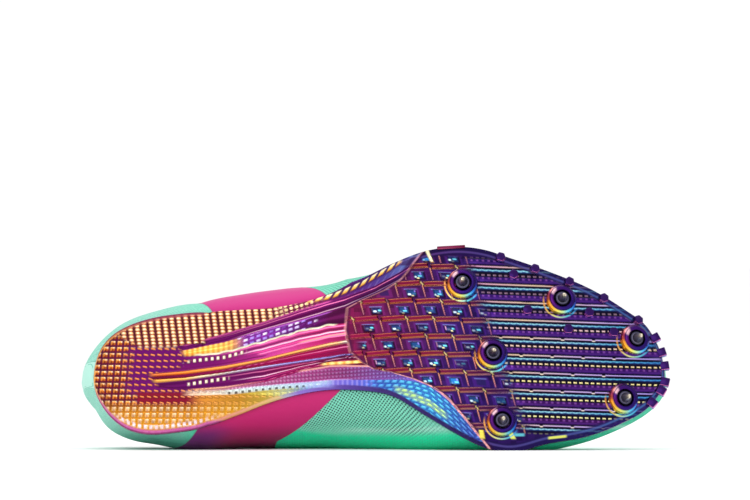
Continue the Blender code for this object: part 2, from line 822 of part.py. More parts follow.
def main():
    clear_scene()
    parts = bpy.data.collections.new("track_spike_shoe")
    cutters = bpy.data.collections.new("cutters")
    for group in (parts, cutters):
        bpy.context.scene.collection.children.link(group)
    rest = find_rest()
    build_upper(rest, parts, cutters)
    build_plate(rest, parts, cutters)
    build_pins(rest, parts)
    build_insole(rest, parts)
    build_tongue(rest, parts)
    build_laces(rest, parts)
    centre_on_origin(parts, cutters)


main()
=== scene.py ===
"""Looks of a track spike shoe for the right foot, lying on its medial side.

The shoe is worked out standing, in millimetres: +X from heel to toe, +Y to the medial side, +Z up.
lay_down() turns it onto its side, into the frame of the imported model. The sole's relief and
colours are drawn on a grid of squares, counted right along the shoe and down to the floor.
"""

from math import cos, pi, radians, sin

import bmesh
import bpy
import numpy as np
from mathutils import Matrix, Vector


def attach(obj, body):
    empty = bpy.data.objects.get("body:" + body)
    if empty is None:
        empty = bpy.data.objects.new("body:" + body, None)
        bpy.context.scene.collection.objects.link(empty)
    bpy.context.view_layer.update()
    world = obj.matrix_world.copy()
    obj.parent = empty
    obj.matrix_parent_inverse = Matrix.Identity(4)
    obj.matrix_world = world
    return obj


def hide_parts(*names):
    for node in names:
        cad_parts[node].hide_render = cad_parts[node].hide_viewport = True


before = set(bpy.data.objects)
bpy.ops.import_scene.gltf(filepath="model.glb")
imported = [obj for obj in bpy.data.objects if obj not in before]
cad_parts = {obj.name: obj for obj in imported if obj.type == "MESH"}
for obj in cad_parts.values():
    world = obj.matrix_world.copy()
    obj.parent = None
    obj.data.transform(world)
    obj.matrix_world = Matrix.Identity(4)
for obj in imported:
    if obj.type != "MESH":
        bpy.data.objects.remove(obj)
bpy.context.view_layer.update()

MM = 0.001
LEAN = 15.0
ROLL = 0.304559
DROP = 37.154965
SHIFT = (-142.014354, -47.118157)

UPPER_LENGTH = 283.0
PLATE_START = 6.0
PLATE_LENGTH = 276.0
HEEL_WIDTH = 58.0
BALL_WIDTH = 97.4
HEEL_HEIGHT = 66.0
INSTEP_HEIGHT = 70.0
HEEL_RISE = 9.5
TOE_SPRING = 21.0
WALL = 1.5
CLEARANCE = 0.3
PLATE_THICKNESS = 3.8
LIP_THICKNESS = 1.6
TIP_ROUNDING = 6.0
INSET_LIMIT = 32.0
FEATHER_INSET = 3.4
INTURN_WIDTH = 9.0
FEATHER_BACK = 2.5
CROWN_BACK = 9.0
CROWN_FRONT = 19.0
THROAT_FRONT = 0.715
THROAT_BACK = 0.340
EYESTAY_WIDTH = 15.0
COLLAR_BAND = 7.0
EYELET_SPAN = (0.370, 0.670)
EYELET_ROWS = 6
EYELET_INSET = 6.5
EYELET_RADIUS = 2.3
WIDTH_BLEND = (0.20, 0.45)
HEIGHT_BLEND = (0.20, 0.34)

BOSS_HEIGHT = 3.6
SOCKET_DEPTH = 2.8
LUG_SPACING = 16.6
LUG_INSET = 1.8
EDGE_LUG_COUNT = 5
EDGE_LUG_START = 0.710145
TOOTH_WIDTH = 4.2
TOOTH_LENGTH = 4.4
TOOTH_HEIGHT = 3.5
TOOTH_PROUD = 2.4
TOOTH_DROP = 0.6

SQUARE = 0.483
SQUARE_ORIGIN = (375.4, 449.5)


def table(names, *rows):
    """A table with named columns, one row for each place."""
    return {name: np.array(values, dtype=float) for name, values in zip(names.split(), zip(*rows))}


PLATE = table(
    "along lateral medial",
    (0.000, 0.000, 0.000),
    (0.014, -0.262, 0.226),
    (0.033, -0.364, 0.347),
    (0.058, -0.434, 0.440),
    (0.094, -0.493, 0.490),
    (0.141, -0.534, 0.478),
    (0.196, -0.553, 0.422),
    (0.250, -0.509, 0.287),
    (0.304, -0.468, 0.168),
    (0.359, -0.455, 0.092),
    (0.413, -0.467, 0.056),
    (0.467, -0.513, 0.058),
    (0.522, -0.585, 0.091),
    (0.576, -0.640, 0.188),
    (0.630, -0.662, 0.284),
    (0.685, -0.648, 0.360),
    (0.721, -0.617, 0.380),
    (0.793, -0.551, 0.331),
    (0.866, -0.474, 0.280),
    (0.928, -0.380, 0.196),
    (0.967, -0.305, 0.118),
    (0.986, -0.222, 0.052),
    (1.000, -0.050, -0.050),
)
SPINE = table(
    "along heel toe",
    (0.000, 1.00, 0.00),
    (0.050, 0.66, 0.00),
    (0.105, 0.45, 0.00),
    (0.210, 0.43, 0.00),
    (0.320, 0.64, 0.00),
    (0.420, 0.80, 0.00),
    (0.510, 0.52, 0.00),
    (0.580, 0.16, 0.00),
    (0.650, 0.02, 0.00),
    (0.720, 0.00, 0.08),
    (0.810, 0.00, 0.22),
    (0.880, 0.00, 0.41),
    (0.925, 0.00, 0.59),
    (0.965, 0.00, 0.79),
    (1.000, 0.00, 1.00),
)
WALL_COLUMNS = "along wide wide_up crown crown_up closing"
LATERAL_WALL = table(
    WALL_COLUMNS,
    (0.000, -0.050, 0.27, -0.035, 1.00, 45),
    (0.007, -0.210, 0.27, -0.125, 1.00, 45),
    (0.018, -0.300, 0.27, -0.185, 0.99, 45),
    (0.035, -0.400, 0.27, -0.262, 0.98, 45),
    (0.070, -0.534, 0.28, -0.362, 0.94, 45),
    (0.123, -0.635, 0.30, -0.434, 0.86, 45),
    (0.193, -0.712, 0.33, -0.490, 0.76, 45),
    (0.281, -0.668, 0.35, -0.392, 0.83, 50),
    (0.340, -0.628, 0.37, -0.300, 1.00, 55),
    (0.439, -0.560, 0.34, -0.225, 0.94, 62),
    (0.509, -0.578, 0.27, -0.205, 0.86, 66),
    (0.579, -0.605, 0.21, -0.185, 0.77, 72),
    (0.649, -0.618, 0.18, -0.150, 0.69, 80),
    (0.692, -0.606, 0.17, -0.112, 0.65, 88),
    (0.715, -0.598, 0.16, -0.055, 0.635, 90),
    (0.789, -0.534, 0.16, -0.040, 0.585, 90),
    (0.860, -0.452, 0.16, -0.030, 0.515, 90),
    (0.919, -0.364, 0.16, -0.036, 0.45, 90),
    (0.958, -0.302, 0.16, -0.050, 0.41, 90),
    (0.986, -0.208, 0.16, -0.062, 0.385, 90),
    (1.000, -0.065, 0.16, -0.065, 0.38, 90),
)
MEDIAL_WALL = table(
    WALL_COLUMNS,
    (0.000, -0.050, 0.27, -0.035, 1.00, 45),
    (0.007, 0.035, 0.27, 0.030, 1.00, 45),
    (0.018, 0.105, 0.27, 0.080, 0.99, 45),
    (0.035, 0.245, 0.27, 0.178, 0.98, 45),
    (0.070, 0.365, 0.28, 0.258, 0.94, 45),
    (0.123, 0.444, 0.29, 0.307, 0.86, 42),
    (0.193, 0.510, 0.30, 0.335, 0.76, 40),
    (0.281, 0.372, 0.38, 0.218, 0.83, 45),
    (0.340, 0.315, 0.42, 0.125, 1.00, 52),
    (0.439, 0.262, 0.46, 0.090, 0.94, 60),
    (0.509, 0.280, 0.43, 0.082, 0.86, 66),
    (0.579, 0.310, 0.34, 0.056, 0.77, 72),
    (0.649, 0.322, 0.24, 0.026, 0.69, 80),
    (0.692, 0.334, 0.20, -0.004, 0.65, 88),
    (0.715, 0.337, 0.19, -0.055, 0.635, 90),
    (0.789, 0.329, 0.17, -0.040, 0.585, 90),
    (0.860, 0.278, 0.16, -0.030, 0.515, 90),
    (0.919, 0.200, 0.16, -0.036, 0.45, 90),
    (0.958, 0.128, 0.16, -0.050, 0.41, 90),
    (0.986, 0.048, 0.16, -0.062, 0.385, 90),
    (1.000, -0.065, 0.16, -0.065, 0.38, 90),
)
WALLS = {"lateral": LATERAL_WALL, "medial": MEDIAL_WALL}

SPIKES = table(
    "along across",
    (0.644, -0.60),
    (0.697, 0.045),
    (0.714, 0.70),
    (0.817, -0.70),
    (0.926, 0.60),
    (0.946, -0.505),
)
INNER_LUGS = table(
    "along across",
    (0.733, -0.825),
    (0.758, -0.485),
    (0.829, -0.355),
    (0.865, -0.645),
    (0.908, -0.49),
)
TEETH = (("lateral", 0.982), ("lateral", 0.993), ("lateral", 0.9985),
         ("medial", 0.9992), ("medial", 0.993), ("medial", 0.977))


# Curves and the shoe's surfaces

def smooth(at, places, values):
    """A smooth curve through the rows of a table."""
    slopes = np.gradient(values, places)
    row = np.clip(np.searchsorted(places, at) - 1, 0, len(places) - 2)
    span = places[row + 1] - places[row]
    t = np.clip((at - places[row]) / span, 0.0, 1.0)
    rise = values[row + 1] - values[row]
    start_slope = slopes[row] * span
    end_slope = slopes[row + 1] * span
    return values[row] + t * (start_slope + t * (3 * rise - 2 * start_slope - end_slope
                                                 + t * (start_slope + end_slope - 2 * rise)))


def turn_of(along):
    return np.arccos(np.clip(1 - 2 * np.asarray(along, dtype=float), -1, 1)) / pi


def along_of(turn):
    return (1 - np.cos(pi * np.asarray(turn))) / 2


def column(rows, name, along):
    return smooth(turn_of(along), turn_of(rows["along"]), rows[name])


def blend(along, start, end, span):
    return start + (end - start) * np.clip((along - span[0]) / (span[1] - span[0]), 0, 1)


def width_at(along):
    return blend(along, HEEL_WIDTH, BALL_WIDTH, WIDTH_BLEND)


def height_at(along):
    return blend(along, HEEL_HEIGHT, INSTEP_HEIGHT, HEIGHT_BLEND)


def sole_height(x):
    along = np.asarray(x) / (PLATE_START + PLATE_LENGTH)
    back = smooth(along, SPINE["along"], SPINE["heel"])
    front = smooth(along, SPINE["along"], SPINE["toe"])
    return HEEL_RISE * back + TOE_SPRING * front


def bed_height(x):
    return sole_height(x) + PLATE_THICKNESS + CLEARANCE


def plate_edges(x):
    along = np.clip((np.asarray(x) - PLATE_START) / PLATE_LENGTH, 0, 1)
    width = width_at(along)
    return column(PLATE, "lateral", along) * width, column(PLATE, "medial", along) * width


def plate_point(x, across):
    lateral, medial = plate_edges(x)
    half = (medial - lateral) / 2
    y = (lateral + medial) / 2 + across * half
    tip = np.exp(-half / TIP_ROUNDING)
    edge = across ** 4
    lift = (PLATE_THICKNESS - LIP_THICKNESS) * (edge + tip - edge * tip)
    return x, y, sole_height(x) + lift


TURN = np.array(Matrix.Rotation(radians(ROLL), 3, "Y") @ Matrix.Rotation(-radians(90 + LEAN), 3, "X"))


def lay_down(points):
    """Standing points in millimetres become points of the lying shoe, in millimetres."""
    return np.asarray(points) @ TURN.T + (SHIFT[0], SHIFT[1], DROP)


def laid_matrix():
    return (Matrix.Scale(MM, 4) @ Matrix.Translation((SHIFT[0], SHIFT[1], DROP))
            @ Matrix(TURN.tolist()).to_4x4())


# Colours

def linear(code):
    """An sRGB hex colour as linear red, green and blue."""
    parts = np.array([int(code[i:i + 2], 16) for i in (1, 3, 5)]) / 255
    return np.where(parts <= 0.04045, parts / 12.92, ((parts + 0.055) / 1.055) ** 2.4)


def rgba(code):
    return (*linear(code), 1.0)


def step(value, low, high):
    """A soft step from 0 at low to 1 at high."""
    t = np.clip((value - low) / (high - low), 0, 1)
    return t * t * (3 - 2 * t)


def strip(distance, half, soft=0.6):
    """1 within half of a line, falling softly to 0 beside it."""
    return 1 - step(np.abs(distance), half - soft, half + soft)


def within(value, low, high, soft=0.8):
    return step(value, low - soft, low + soft) * (1 - step(value, high - soft, high + soft))


def paint(base, code, amount):
    """A colour laid over the base, by amount."""
    colour = linear(code) if isinstance(code, str) else code
    return base + (colour - base) * np.clip(amount, 0, 1)[:, None]


def graded(value, *stops):
    """Colours that run through the stops, each a place and a colour."""
    places = [place for place, code in stops]
    colours = np.array([linear(code) for place, code in stops])
    return np.stack([np.interp(value, places, colours[:, i]) for i in range(3)], axis=1)


def speckle(a, b, seed):
    """Even numbers from 0 to 1, one for each square of whole numbers a, b."""
    mixed = np.sin(np.floor(a) * 12.9898 + np.floor(b) * 78.233 + seed * 37.719) * 43758.5453
    return mixed - np.floor(mixed)


# The sole's drawing: lines are given as places along it and heights, in squares of its grid

def line(at, *points):
    places, heights = np.array(points, dtype=float).T
    return np.interp(at, places, heights)


FRONT_EDGE = ((240, 430), (252, 422), (262, 414), (272, 407), (280, 400), (290, 385), (300, 362),
              (308, 347), (330, 345), (352, 350), (362, 362), (369, 374), (372, 392), (378, 413),
              (385, 430), (392, 441), (400, 450), (412, 460), (424, 470), (434, 478), (446, 488),
              (460, 495))
DRIFT = ((345, 1.0), (400, 0.0), (430, 0.0), (500, 3.2), (560, 5.4), (600, 7.0), (655, 8.8))

STUD_COLUMN = 6.75
STUD_ROW = 5.95
ROW_PITCH = 17.35
ROW_START = 266.0
CROSS_SLANT = 0.27
JOINT_PITCH = 27.0
KINK_PITCH = 31.0
BEAD_PITCH = 5.75

# Glints in each cell of the ball: place along and across it, half its size each way, and colour
CELL_GLINTS = (
    (-2.6, 1.4, 1.5, 0.8, "#DCF4F8"),
    (2.6, 0.6, 1.9, 0.7, "#6CD4E8"),
    (0.4, 2.7, 1.2, 0.6, "#E8E0A0"),
    (3.6, -2.0, 0.7, 1.3, "#8A7AD8"),
    (-5.4, -0.5, 0.5, 2.6, "#C890B8"),
)

# Across the waist: the lower edge of each band, at places along the sole
WAIST = table(
    "at b1 b2 b3 b4 b5 b6 b7 b8 b9 b10",
    (130, 352, 357, 362, 375, 378.5, 380, 385, 393, 395, 397),
    (185, 345, 350, 356.5, 370.5, 374, 377, 380, 389, 391, 392),
    (225, 334, 342, 352, 365.2, 368.8, 371.7, 374, 386, 388, 390),
    (265, 322, 330, 341, 358, 361.2, 365.3, 368, 380, 382, 386),
    (300, 310, 321, 331, 349.3, 352.8, 360.3, 362.8, 369, 371.5, 383),
    (330, 301, 312, 325, 342.5, 346.3, 356, 358.4, 361, 366.5, 380),
    (345, 297, 307.5, 323, 340.3, 343.3, 353.8, 355.6, 358.5, 366, 379.5),
    (375, 286, 294, 322, 339.5, 341.3, 352, 354, 359, 366.5, 379.5),
    (400, 272, 281, 320, 339, 340.8, 352, 355, 363, 370.5, 379),
    (415, 262, 272, 319, 338.7, 340.4, 353, 358, 368, 376, 380.5),
    (430, 251, 256, 318, 338.5, 340, 355, 362, 376, 382.8, 385),
    (452, 250, 254, 318, 338, 340, 360, 370, 394, 400, 402.5),
    (474, 250, 254, 318, 338, 340, 365, 380, 416, 422, 424.5),
)


# The bands' numbers, how far each stands out in millimetres, and its colours along the shoe; the raised
# bands' bright gold, orange and pale colours are painted highlights
WAIST_BANDS = (
    (2, -0.5, ((185, "#64085A"), (300, "#6A0858"), (350, "#4A0848"), (400, "#300840"), (420, "#200638"))),
    (3, 0.7, ((185, "#E8902C"), (212, "#F0A83A"), (232, "#D8904A"), (246, "#7A2A90"), (280, "#6A1E80"),
              (306, "#5A1460"), (330, "#4C0A3C"))),
    (4, -0.1, ((150, "#5A0450"), (215, "#680A58"), (250, "#90206C"), (285, "#B83A80"), (315, "#A0205C"),
               (345, "#7A0E44"))),
    (5, 1.1, ((150, "#C86A40"), (180, "#F08A38"), (225, "#FFA04A"), (300, "#FFB05E"), (338, "#FFC084"),
              (350, "#D8E0D8"), (430, "#8CD4E4"))),
    (6, -0.3, ((150, "#6A0A40"), (225, "#90064A"), (300, "#A4084A"), (345, "#780A40"))),
    (7, 0.9, ((140, "#E8983C"), (185, "#F0B860"), (205, "#F0EAC0"), (240, "#C8C4D8"), (290, "#9C92E0"),
              (350, "#8A84D0"))),
    (8, -0.4, ((150, "#54084C"), (200, "#5E085A"), (255, "#680A54"), (300, "#8C0A4A"), (345, "#5E0836"))),
    (9, 0.5, ((185, "#D89868"), (225, "#E0A890"), (265, "#A01C60"), (300, "#900A4C"), (330, "#80083C"),
              (375, "#5A0830"), (430, "#3A0828"))),
    (10, -0.1, ((185, "#C87858"), (235, "#B86890"), (300, "#A03C7C"), (345, "#7E2E68"), (385, "#70408C"),
                (420, "#5A50A8"))),
)


def bumps(a, b):
    """Rows of small studs: 1 on top of each, 0 in the gaps."""
    return step((0.5 + 0.5 * np.cos(2 * pi * a)) * (0.5 + 0.5 * np.cos(2 * pi * b)), 0.10, 0.42)


def marks(turns, low, high):
    """One mark in each turn: 1 on it, falling softly to 0 beside it."""
    return step(np.cos(2 * pi * turns), low, high)


def saw(value):
    """How far a value is past the whole number below it."""
    return value - np.floor(value)


def inside_of(value, low, high, soft=0.1):
    """1 where a share from 0 to 1 lies between low and high, softly."""
    return within(value, low, high, soft / 2)


def stud_column(p, q):
    """Which of the heel's slanting columns of studs a place is in, and how far across it."""
    return (p + 0.09 * (q - 370)) / STUD_COLUMN


def ladder(p, q):
    """Slanted columns of fine cream rungs, as relief and colour; the rails' lighter middles and the rungs'
    cream faces are painted highlights.
    """
    a = saw((p - 0.14 * (q - 330)) / 7.1)
    b = saw((q + 0.02 * p) / 3.45)
    rail = inside_of(a, 0.06, 0.70, 0.16)
    rung = inside_of(b, 0.12, 0.66, 0.3)
    colour = graded(a, (0.0, "#3C0620"), (0.12, "#8A3A28"), (0.4, "#C4703E"), (0.7, "#7A1E30"),
                    (1.0, "#3C0620"))
    colour = paint(colour, graded(a, (0.1, "#F0B070"), (0.3, "#FFF0CC"), (0.6, "#FFD08A")), rail * rung)
    return rail * (0.45 + 0.3 * rung), colour


def heel_field(p, q, inside):
    """The heel's studs: relief and colour, with painted highlights and shade on the studs and a painted
    reflection on the rim.
    """
    a = saw(stud_column(p, q))
    b = saw((q - 394.0) / STUD_ROW)
    low = step(q, 402, 406)
    ragged = 9 * (speckle(p / STUD_COLUMN, q / STUD_ROW, 13) - 0.5)
    middle = (step(p + ragged, 120, 134) * (1 - step(p, 222, 236))
              * step(q, 343, 350) * (1 - step(q, 391, 396)))
    studs = inside_of(a, 0.10, 0.78, 0.14) * inside_of(b, 0.10, 0.78, 0.16)
    well = inside_of(a, 0.30, 0.56, 0.12) * inside_of(b, 0.44, 0.80, 0.16)
    dashes = inside_of(a, 0.14, 0.80, 0.12) * inside_of(b - 0.25 * a, 0.16, 0.40, 0.14)
    gaps = graded(q, (330, "#5A0A38"), (400, "#5A0A2C"), (405, "#8A4410"), (412, "#C07818"), (424, "#D89020"))
    # each stud painted pale at its top and darker towards its foot: painted highlight and shade
    tops = graded(b + 0.35 * a, (0.15, "#FFD9A0"), (0.45, "#F49A3C"), (0.85, "#D86A24"), (1.1, "#8A3410"))
    tops = paint(tops, graded(a, (0.1, "#F8B44A"), (0.45, "#FFD9B8"), (0.8, "#FFC23C")), low * 0.8)
    lot = speckle(stud_column(p, q), (q - 394.0) / STUD_ROW, 11)
    tops = tops * (0.7 + 0.4 * lot)[:, None]
    shine = inside_of(a, 0.44 + 0.2 * lot, 0.84, 0.12) * inside_of(b, 0.08, 0.38, 0.14)
    tops = paint(tops, "#FFF0D0", shine * (0.35 + 0.6 * lot))
    colour = paint(gaps, tops, studs)
    # the hollow in each stud painted dark: painted shade
    colour = paint(colour, "#5A1018", well * (0.85 - 0.45 * low))
    calm = paint(np.tile(linear("#52044E"), (len(p), 1)), graded(p, (120, "#F08A3C"), (200, "#E8905A")),
                 dashes)
    half = within(q, 392, 403.5, 1.2) * step(p, 132, 140)
    calm = paint(calm, "#6A0A22", half * (1 - dashes))
    keep = np.maximum(middle, half)
    colour = paint(colour, calm, keep)
    height = studs * (0.6 - 0.3 * well) * (1 - keep) + dashes * 0.4 * keep
    top = 1 - step(q + 0.5 * np.maximum(0, 140 - p), 344, 349)
    rungs_high, rungs_colour = ladder(p, q)
    colour = paint(colour, rungs_colour, top)
    height = height + (rungs_high - height) * top
    rim = step(inside, 2.3, 1.3)
    # the rim, where it curves up, painted gold and pink: painted reflection
    edge = graded(q, (320, "#9A4A50"), (350, "#E8A048"), (385, "#F0B050"), (405, "#C878A0"), (425, "#C458A8"))
    colour = paint(colour, edge, rim * 0.9)
    colour = paint(colour, "#7A2A58", step(inside, 0.9, 0.4) * 0.8)
    beads = strip(inside - 3.2, 0.9, 0.4) * step(q, 412, 420) * marks(p / 5.6, -0.4, 0.3)
    colour = paint(colour, "#F6E4F0", beads * 0.9)
    return height * (1 - rim), colour


def waist_field(p, q, inside):
    """The long ridges from the heel to the ball, between two studded flanges."""
    edges = [np.interp(p, WAIST["at"], WAIST[f"b{i}"]) for i in range(1, 11)]

    def band(i, soft=0.6):
        low = edges[i - 2] if i > 1 else np.full_like(p, -1e3)
        high = edges[i - 1] if i <= 10 else np.full_like(p, 1e3)
        return step(q, low - soft, low + soft) * (1 - step(q, high - soft, high + soft))

    def share(i):
        low, high = edges[i - 2], edges[i - 1]
        return np.clip((q - low) / np.maximum(high - low, 0.5), 0, 1)

    height = np.zeros_like(p)
    colour = np.tile(linear("#7A0A50"), (len(p), 1))
    # lateral flange: rungs, then one gold row over a smooth wall that turns blue towards the ball
    rungs_high, rungs = ladder(p, q)
    # dense cream dots on the small studs' tops: painted highlights
    dense = bumps((p - 0.2 * (q - 310)) / 5.4, (q + 0.30 * p) / 4.4)
    fine = paint(graded(p, (250, "#7A2040"), (330, "#6A1848")), "#FFE2A8", dense)
    late = step(p, 262, 290)
    flange = paint(rungs, fine, late)
    row = line(p, (300, 303), (330, 297), (345, 291.5), (360, 285), (375, 276.5), (388, 269.5), (400, 262))
    wall = graded(p, (300, "#8A2050"), (335, "#6E2060"), (360, "#54287A"), (385, "#4C3C8C"), (405, "#5A6AAC"),
                  (420, "#8A98C8"))
    wall = paint(wall, "#3A1450", strip(q - row + 0.5, 4.2) * step(p, 322, 335) * 0.75)
    ladder_end = step(p + 1.2 * (q - row), 305, 330)
    flange = paint(flange, wall, ladder_end)
    # one row of gold studs, pale at the top and brown at the foot: painted highlight and shade
    blob = saw((p + 0.9 * (q - row)) / 9.0)
    gold = (strip(q - row, 2.4, 0.7) * inside_of(blob, 0.12, 0.72, 0.2)
            * step(p, 300, 316) * (1 - step(p, 396, 404)))
    flange = paint(flange, graded(q - row, (-2, "#FFF0C4"), (0.5, "#FFC65A"), (2.4, "#A85A20")), gold)
    # faint lavender streaks over the wall: painted reflection
    streak = saw(p / 5.3 + q / 9.0)
    flange = paint(flange, "#B8A8D8",
                   ladder_end * step(q - row, 4, 6) * inside_of(streak, 0.4, 0.6, 0.2) * 0.16)
    amount = band(1)
    colour = paint(colour, flange, amount)
    height += amount * ((1 - ladder_end) * rungs_high + 0.7 * gold)
    for i, rise, stops in WAIST_BANDS:
        amount = band(i)
        shape = np.sin(pi * share(i))
        # each band painted lighter along a ridge's crest and darker down a groove's middle: painted light and
        # shade
        shade = graded(p, *stops) * (0.62 + 0.5 * (shape if rise > 0 else 1 - 0.7 * shape))[:, None]
        colour = paint(colour, shade, amount)
        height += amount * rise * shape
    # thin lines drawn inside the broad bands, brighter and darker than their ground: the bright ones painted
    # highlights
    wave = 0.5 * np.sin(p / 4.1) + 0.4 * np.sin(p / 2.3 + 1)
    for i, places in ((4, (0.12, 0.28, 0.42, 0.55, 0.68, 0.84)), (6, (0.3, 0.6)), (8, (0.2, 0.4, 0.6, 0.8)),
                      (2, (0.25, 0.55, 0.8)), (9, (0.3, 0.6))):
        for number, place in enumerate(places):
            amount = band(i) * strip(share(i) - place - 0.012 * wave, 0.035, 0.03)
            code = ("#F27AB0", "#4A0634", "#F8C4DC", "#D8408C")[number % 4]
            colour = paint(colour, code, amount * step(p, 200 + 14 * number, 262) * 0.8)
    # painted glints in the third band with gold painted glints at its start, beads beside the ridges painted
    # cream as highlights, thin painted highlight lines on their shoulders
    a, b = saw(p / 6.4), saw((q + 0.34 * p) / 4.4)
    lot = speckle(p / 6.4, (q + 0.34 * p) / 4.4, 5)
    glint = band(3) * within(p, 238, 316, 4) * inside_of(a, 0.1, 0.72, 0.2) * inside_of(b, 0.15, 0.62, 0.2)
    colour = paint(colour, graded(lot, (0.0, "#7A44C8"), (0.5, "#B494F0"), (1.0, "#FFF4FF")),
                   glint * step(lot, 0.15, 0.3))
    gold_glint_dashes = band(3) * (1 - step(p, 228, 240)) * inside_of(saw(p / 5.2), 0.3, 0.8, 0.3)
    colour = paint(colour, "#FFD878", gold_glint_dashes * 0.6)
    height += glint * 0.3
    for edge, low, high, code in (
            (edges[2] + 0.7 * wave, 196, 335, "#F0F0CC"), (edges[3] - 7, 300, 420, "#E88A86"),
            (edges[8] - 0.4, 300, 474, "#F0A8A0"), (edges[0] + 0.2, 185, 330, "#C04A90"),
            (edges[1], 240, 330, "#9A4AA8"), (edges[9], 240, 350, "#C8A0E0")):
        colour = paint(colour, code, strip(q - edge, 0.75, 0.45) * within(p, low, high, 4) * 0.9)
    for edge, low, high in ((edges[2] + 5.0, 182, 245), (edges[6] + 4.2, 188, 228)):
        bead = strip(q - edge, 1.5, 0.5) * marks(p / 5.9, -0.1, 0.4) * within(p, low, high, 3)
        colour = paint(colour, "#FFEACB", bead)
        height += bead * 0.4
    # a gold painted highlight where the crimson ridges end
    spot = within(p, 322, 363, 5) * strip(q - line(p, (320, 364), (345, 362.7), (365, 361)), 1.5)
    colour = paint(colour, graded(saw(p / 8), (0.0, "#E88A30"), (0.5, "#FFE08A"), (1.0, "#E89A40")), spot)
    # small studs in the tenth band, their tops painted pale: painted highlights
    fine = band(10) * bumps(p / 3.7, (q + 0.08 * p) / 3.6) * within(p, 232, 405, 10)
    colour = paint(colour, graded(p, (240, "#E0A8C8"), (330, "#B070A8"), (400, "#8A80D0")), fine * 0.55)
    height += fine * 0.25
    # medial flange: gold studs with painted highlights on their tops and painted shade in their hollows, a
    # cyan and white fringe of painted reflection, then lapped scales
    depth = q - edges[9]
    skin = graded(p, (185, "#C88A34"), (240, "#D8A838"), (268, "#E0D048"), (292, "#C8D8A0"), (306, "#90BCE8"),
                  (335, "#7A68D0"), (362, "#5A62D0"), (392, "#3E7CD0"), (430, "#3C94DC"), (478, "#4048A0"))
    a, b = saw(stud_column(p, q)), saw((q - 394.0 + 0.06 * (p - 240)) / STUD_ROW)
    dots = inside_of(a, 0.10, 0.80, 0.14) * inside_of(b, 0.08, 0.72, 0.16)
    well = inside_of(a, 0.32, 0.58, 0.12) * inside_of(b, 0.36, 0.72, 0.16)
    early = 1 - step(p, 296, 330)
    skin = paint(skin, graded(p, (185, "#5A2A10"), (250, "#4A3420"), (300, "#6A7AA0")),
                 (1 - dots) * early * 0.75)
    skin = paint(skin, "#6A3A18", well * early * 0.6)
    skin = paint(skin, "#FFE9A0", dots * (1 - well) * early * step(b, 0.5, 0.2) * 0.5)
    skin = paint(skin, "#C4E4E8", within(depth, -1, 3.6, 0.9) * within(p, 226, 330, 8) * (0.55 + 0.4 * dots))
    # lavender ripples over the flange: painted reflection
    ripple = inside_of(saw(p / 4.8), 0.2, 0.6, 0.3) * within(p, 300, 372, 8)
    skin = paint(skin, "#B8A8F0", ripple * 0.45)
    run = depth - 0.02 * (p - 380)
    scale_b = run / 4.2
    scale_a = saw((p + 0.55 * run) / 7.4 - 0.5 * np.floor(scale_b))
    lap = saw(scale_b)
    late = step(p, 362, 380)
    face = inside_of(scale_a, 0.08, 0.72, 0.2) * inside_of(lap, 0.06, 0.66, 0.24)
    skin = paint(skin, "#1E2C84", late * (1 - face) * 0.55)
    skin = paint(skin, graded(p, (370, "#5A9CE8"), (410, "#62CCF2"), (440, "#5CC4F0"), (470, "#5A80D8")),
                 late * face * 0.85)
    middle = line(p, (385, 386), (404, 391), (430, 403), (443, 413), (470, 430))
    lime = strip(q - middle, 3.4, 1.6) * within(p, 396, 446, 5)
    skin = paint(skin, "#C8EE7C", late * lime * (0.3 + 0.6 * face))
    skin = paint(skin, "#3E3490", late * strip(depth - 0.8, 1.4, 0.8) * step(p, 405, 420) * 0.5)
    amount = band(11)
    colour = paint(colour, skin, amount)
    height += amount * (0.5 * dots * early + late * face * 0.5)
    lip = graded(p, (180, "#B860A8"), (240, "#A070C0"), (300, "#8A70C8"), (345, "#5A4298"), (380, "#403070"),
                 (480, "#261C50"))
    wide = 1.6 + 0.5 * step(p, 310, 350)
    amount = step(inside, wide + 0.4, wide - 0.4) * step(q, 376, 384) * (1 - step(p, 486, 500))
    colour = paint(colour, lip, amount)
    return height, colour


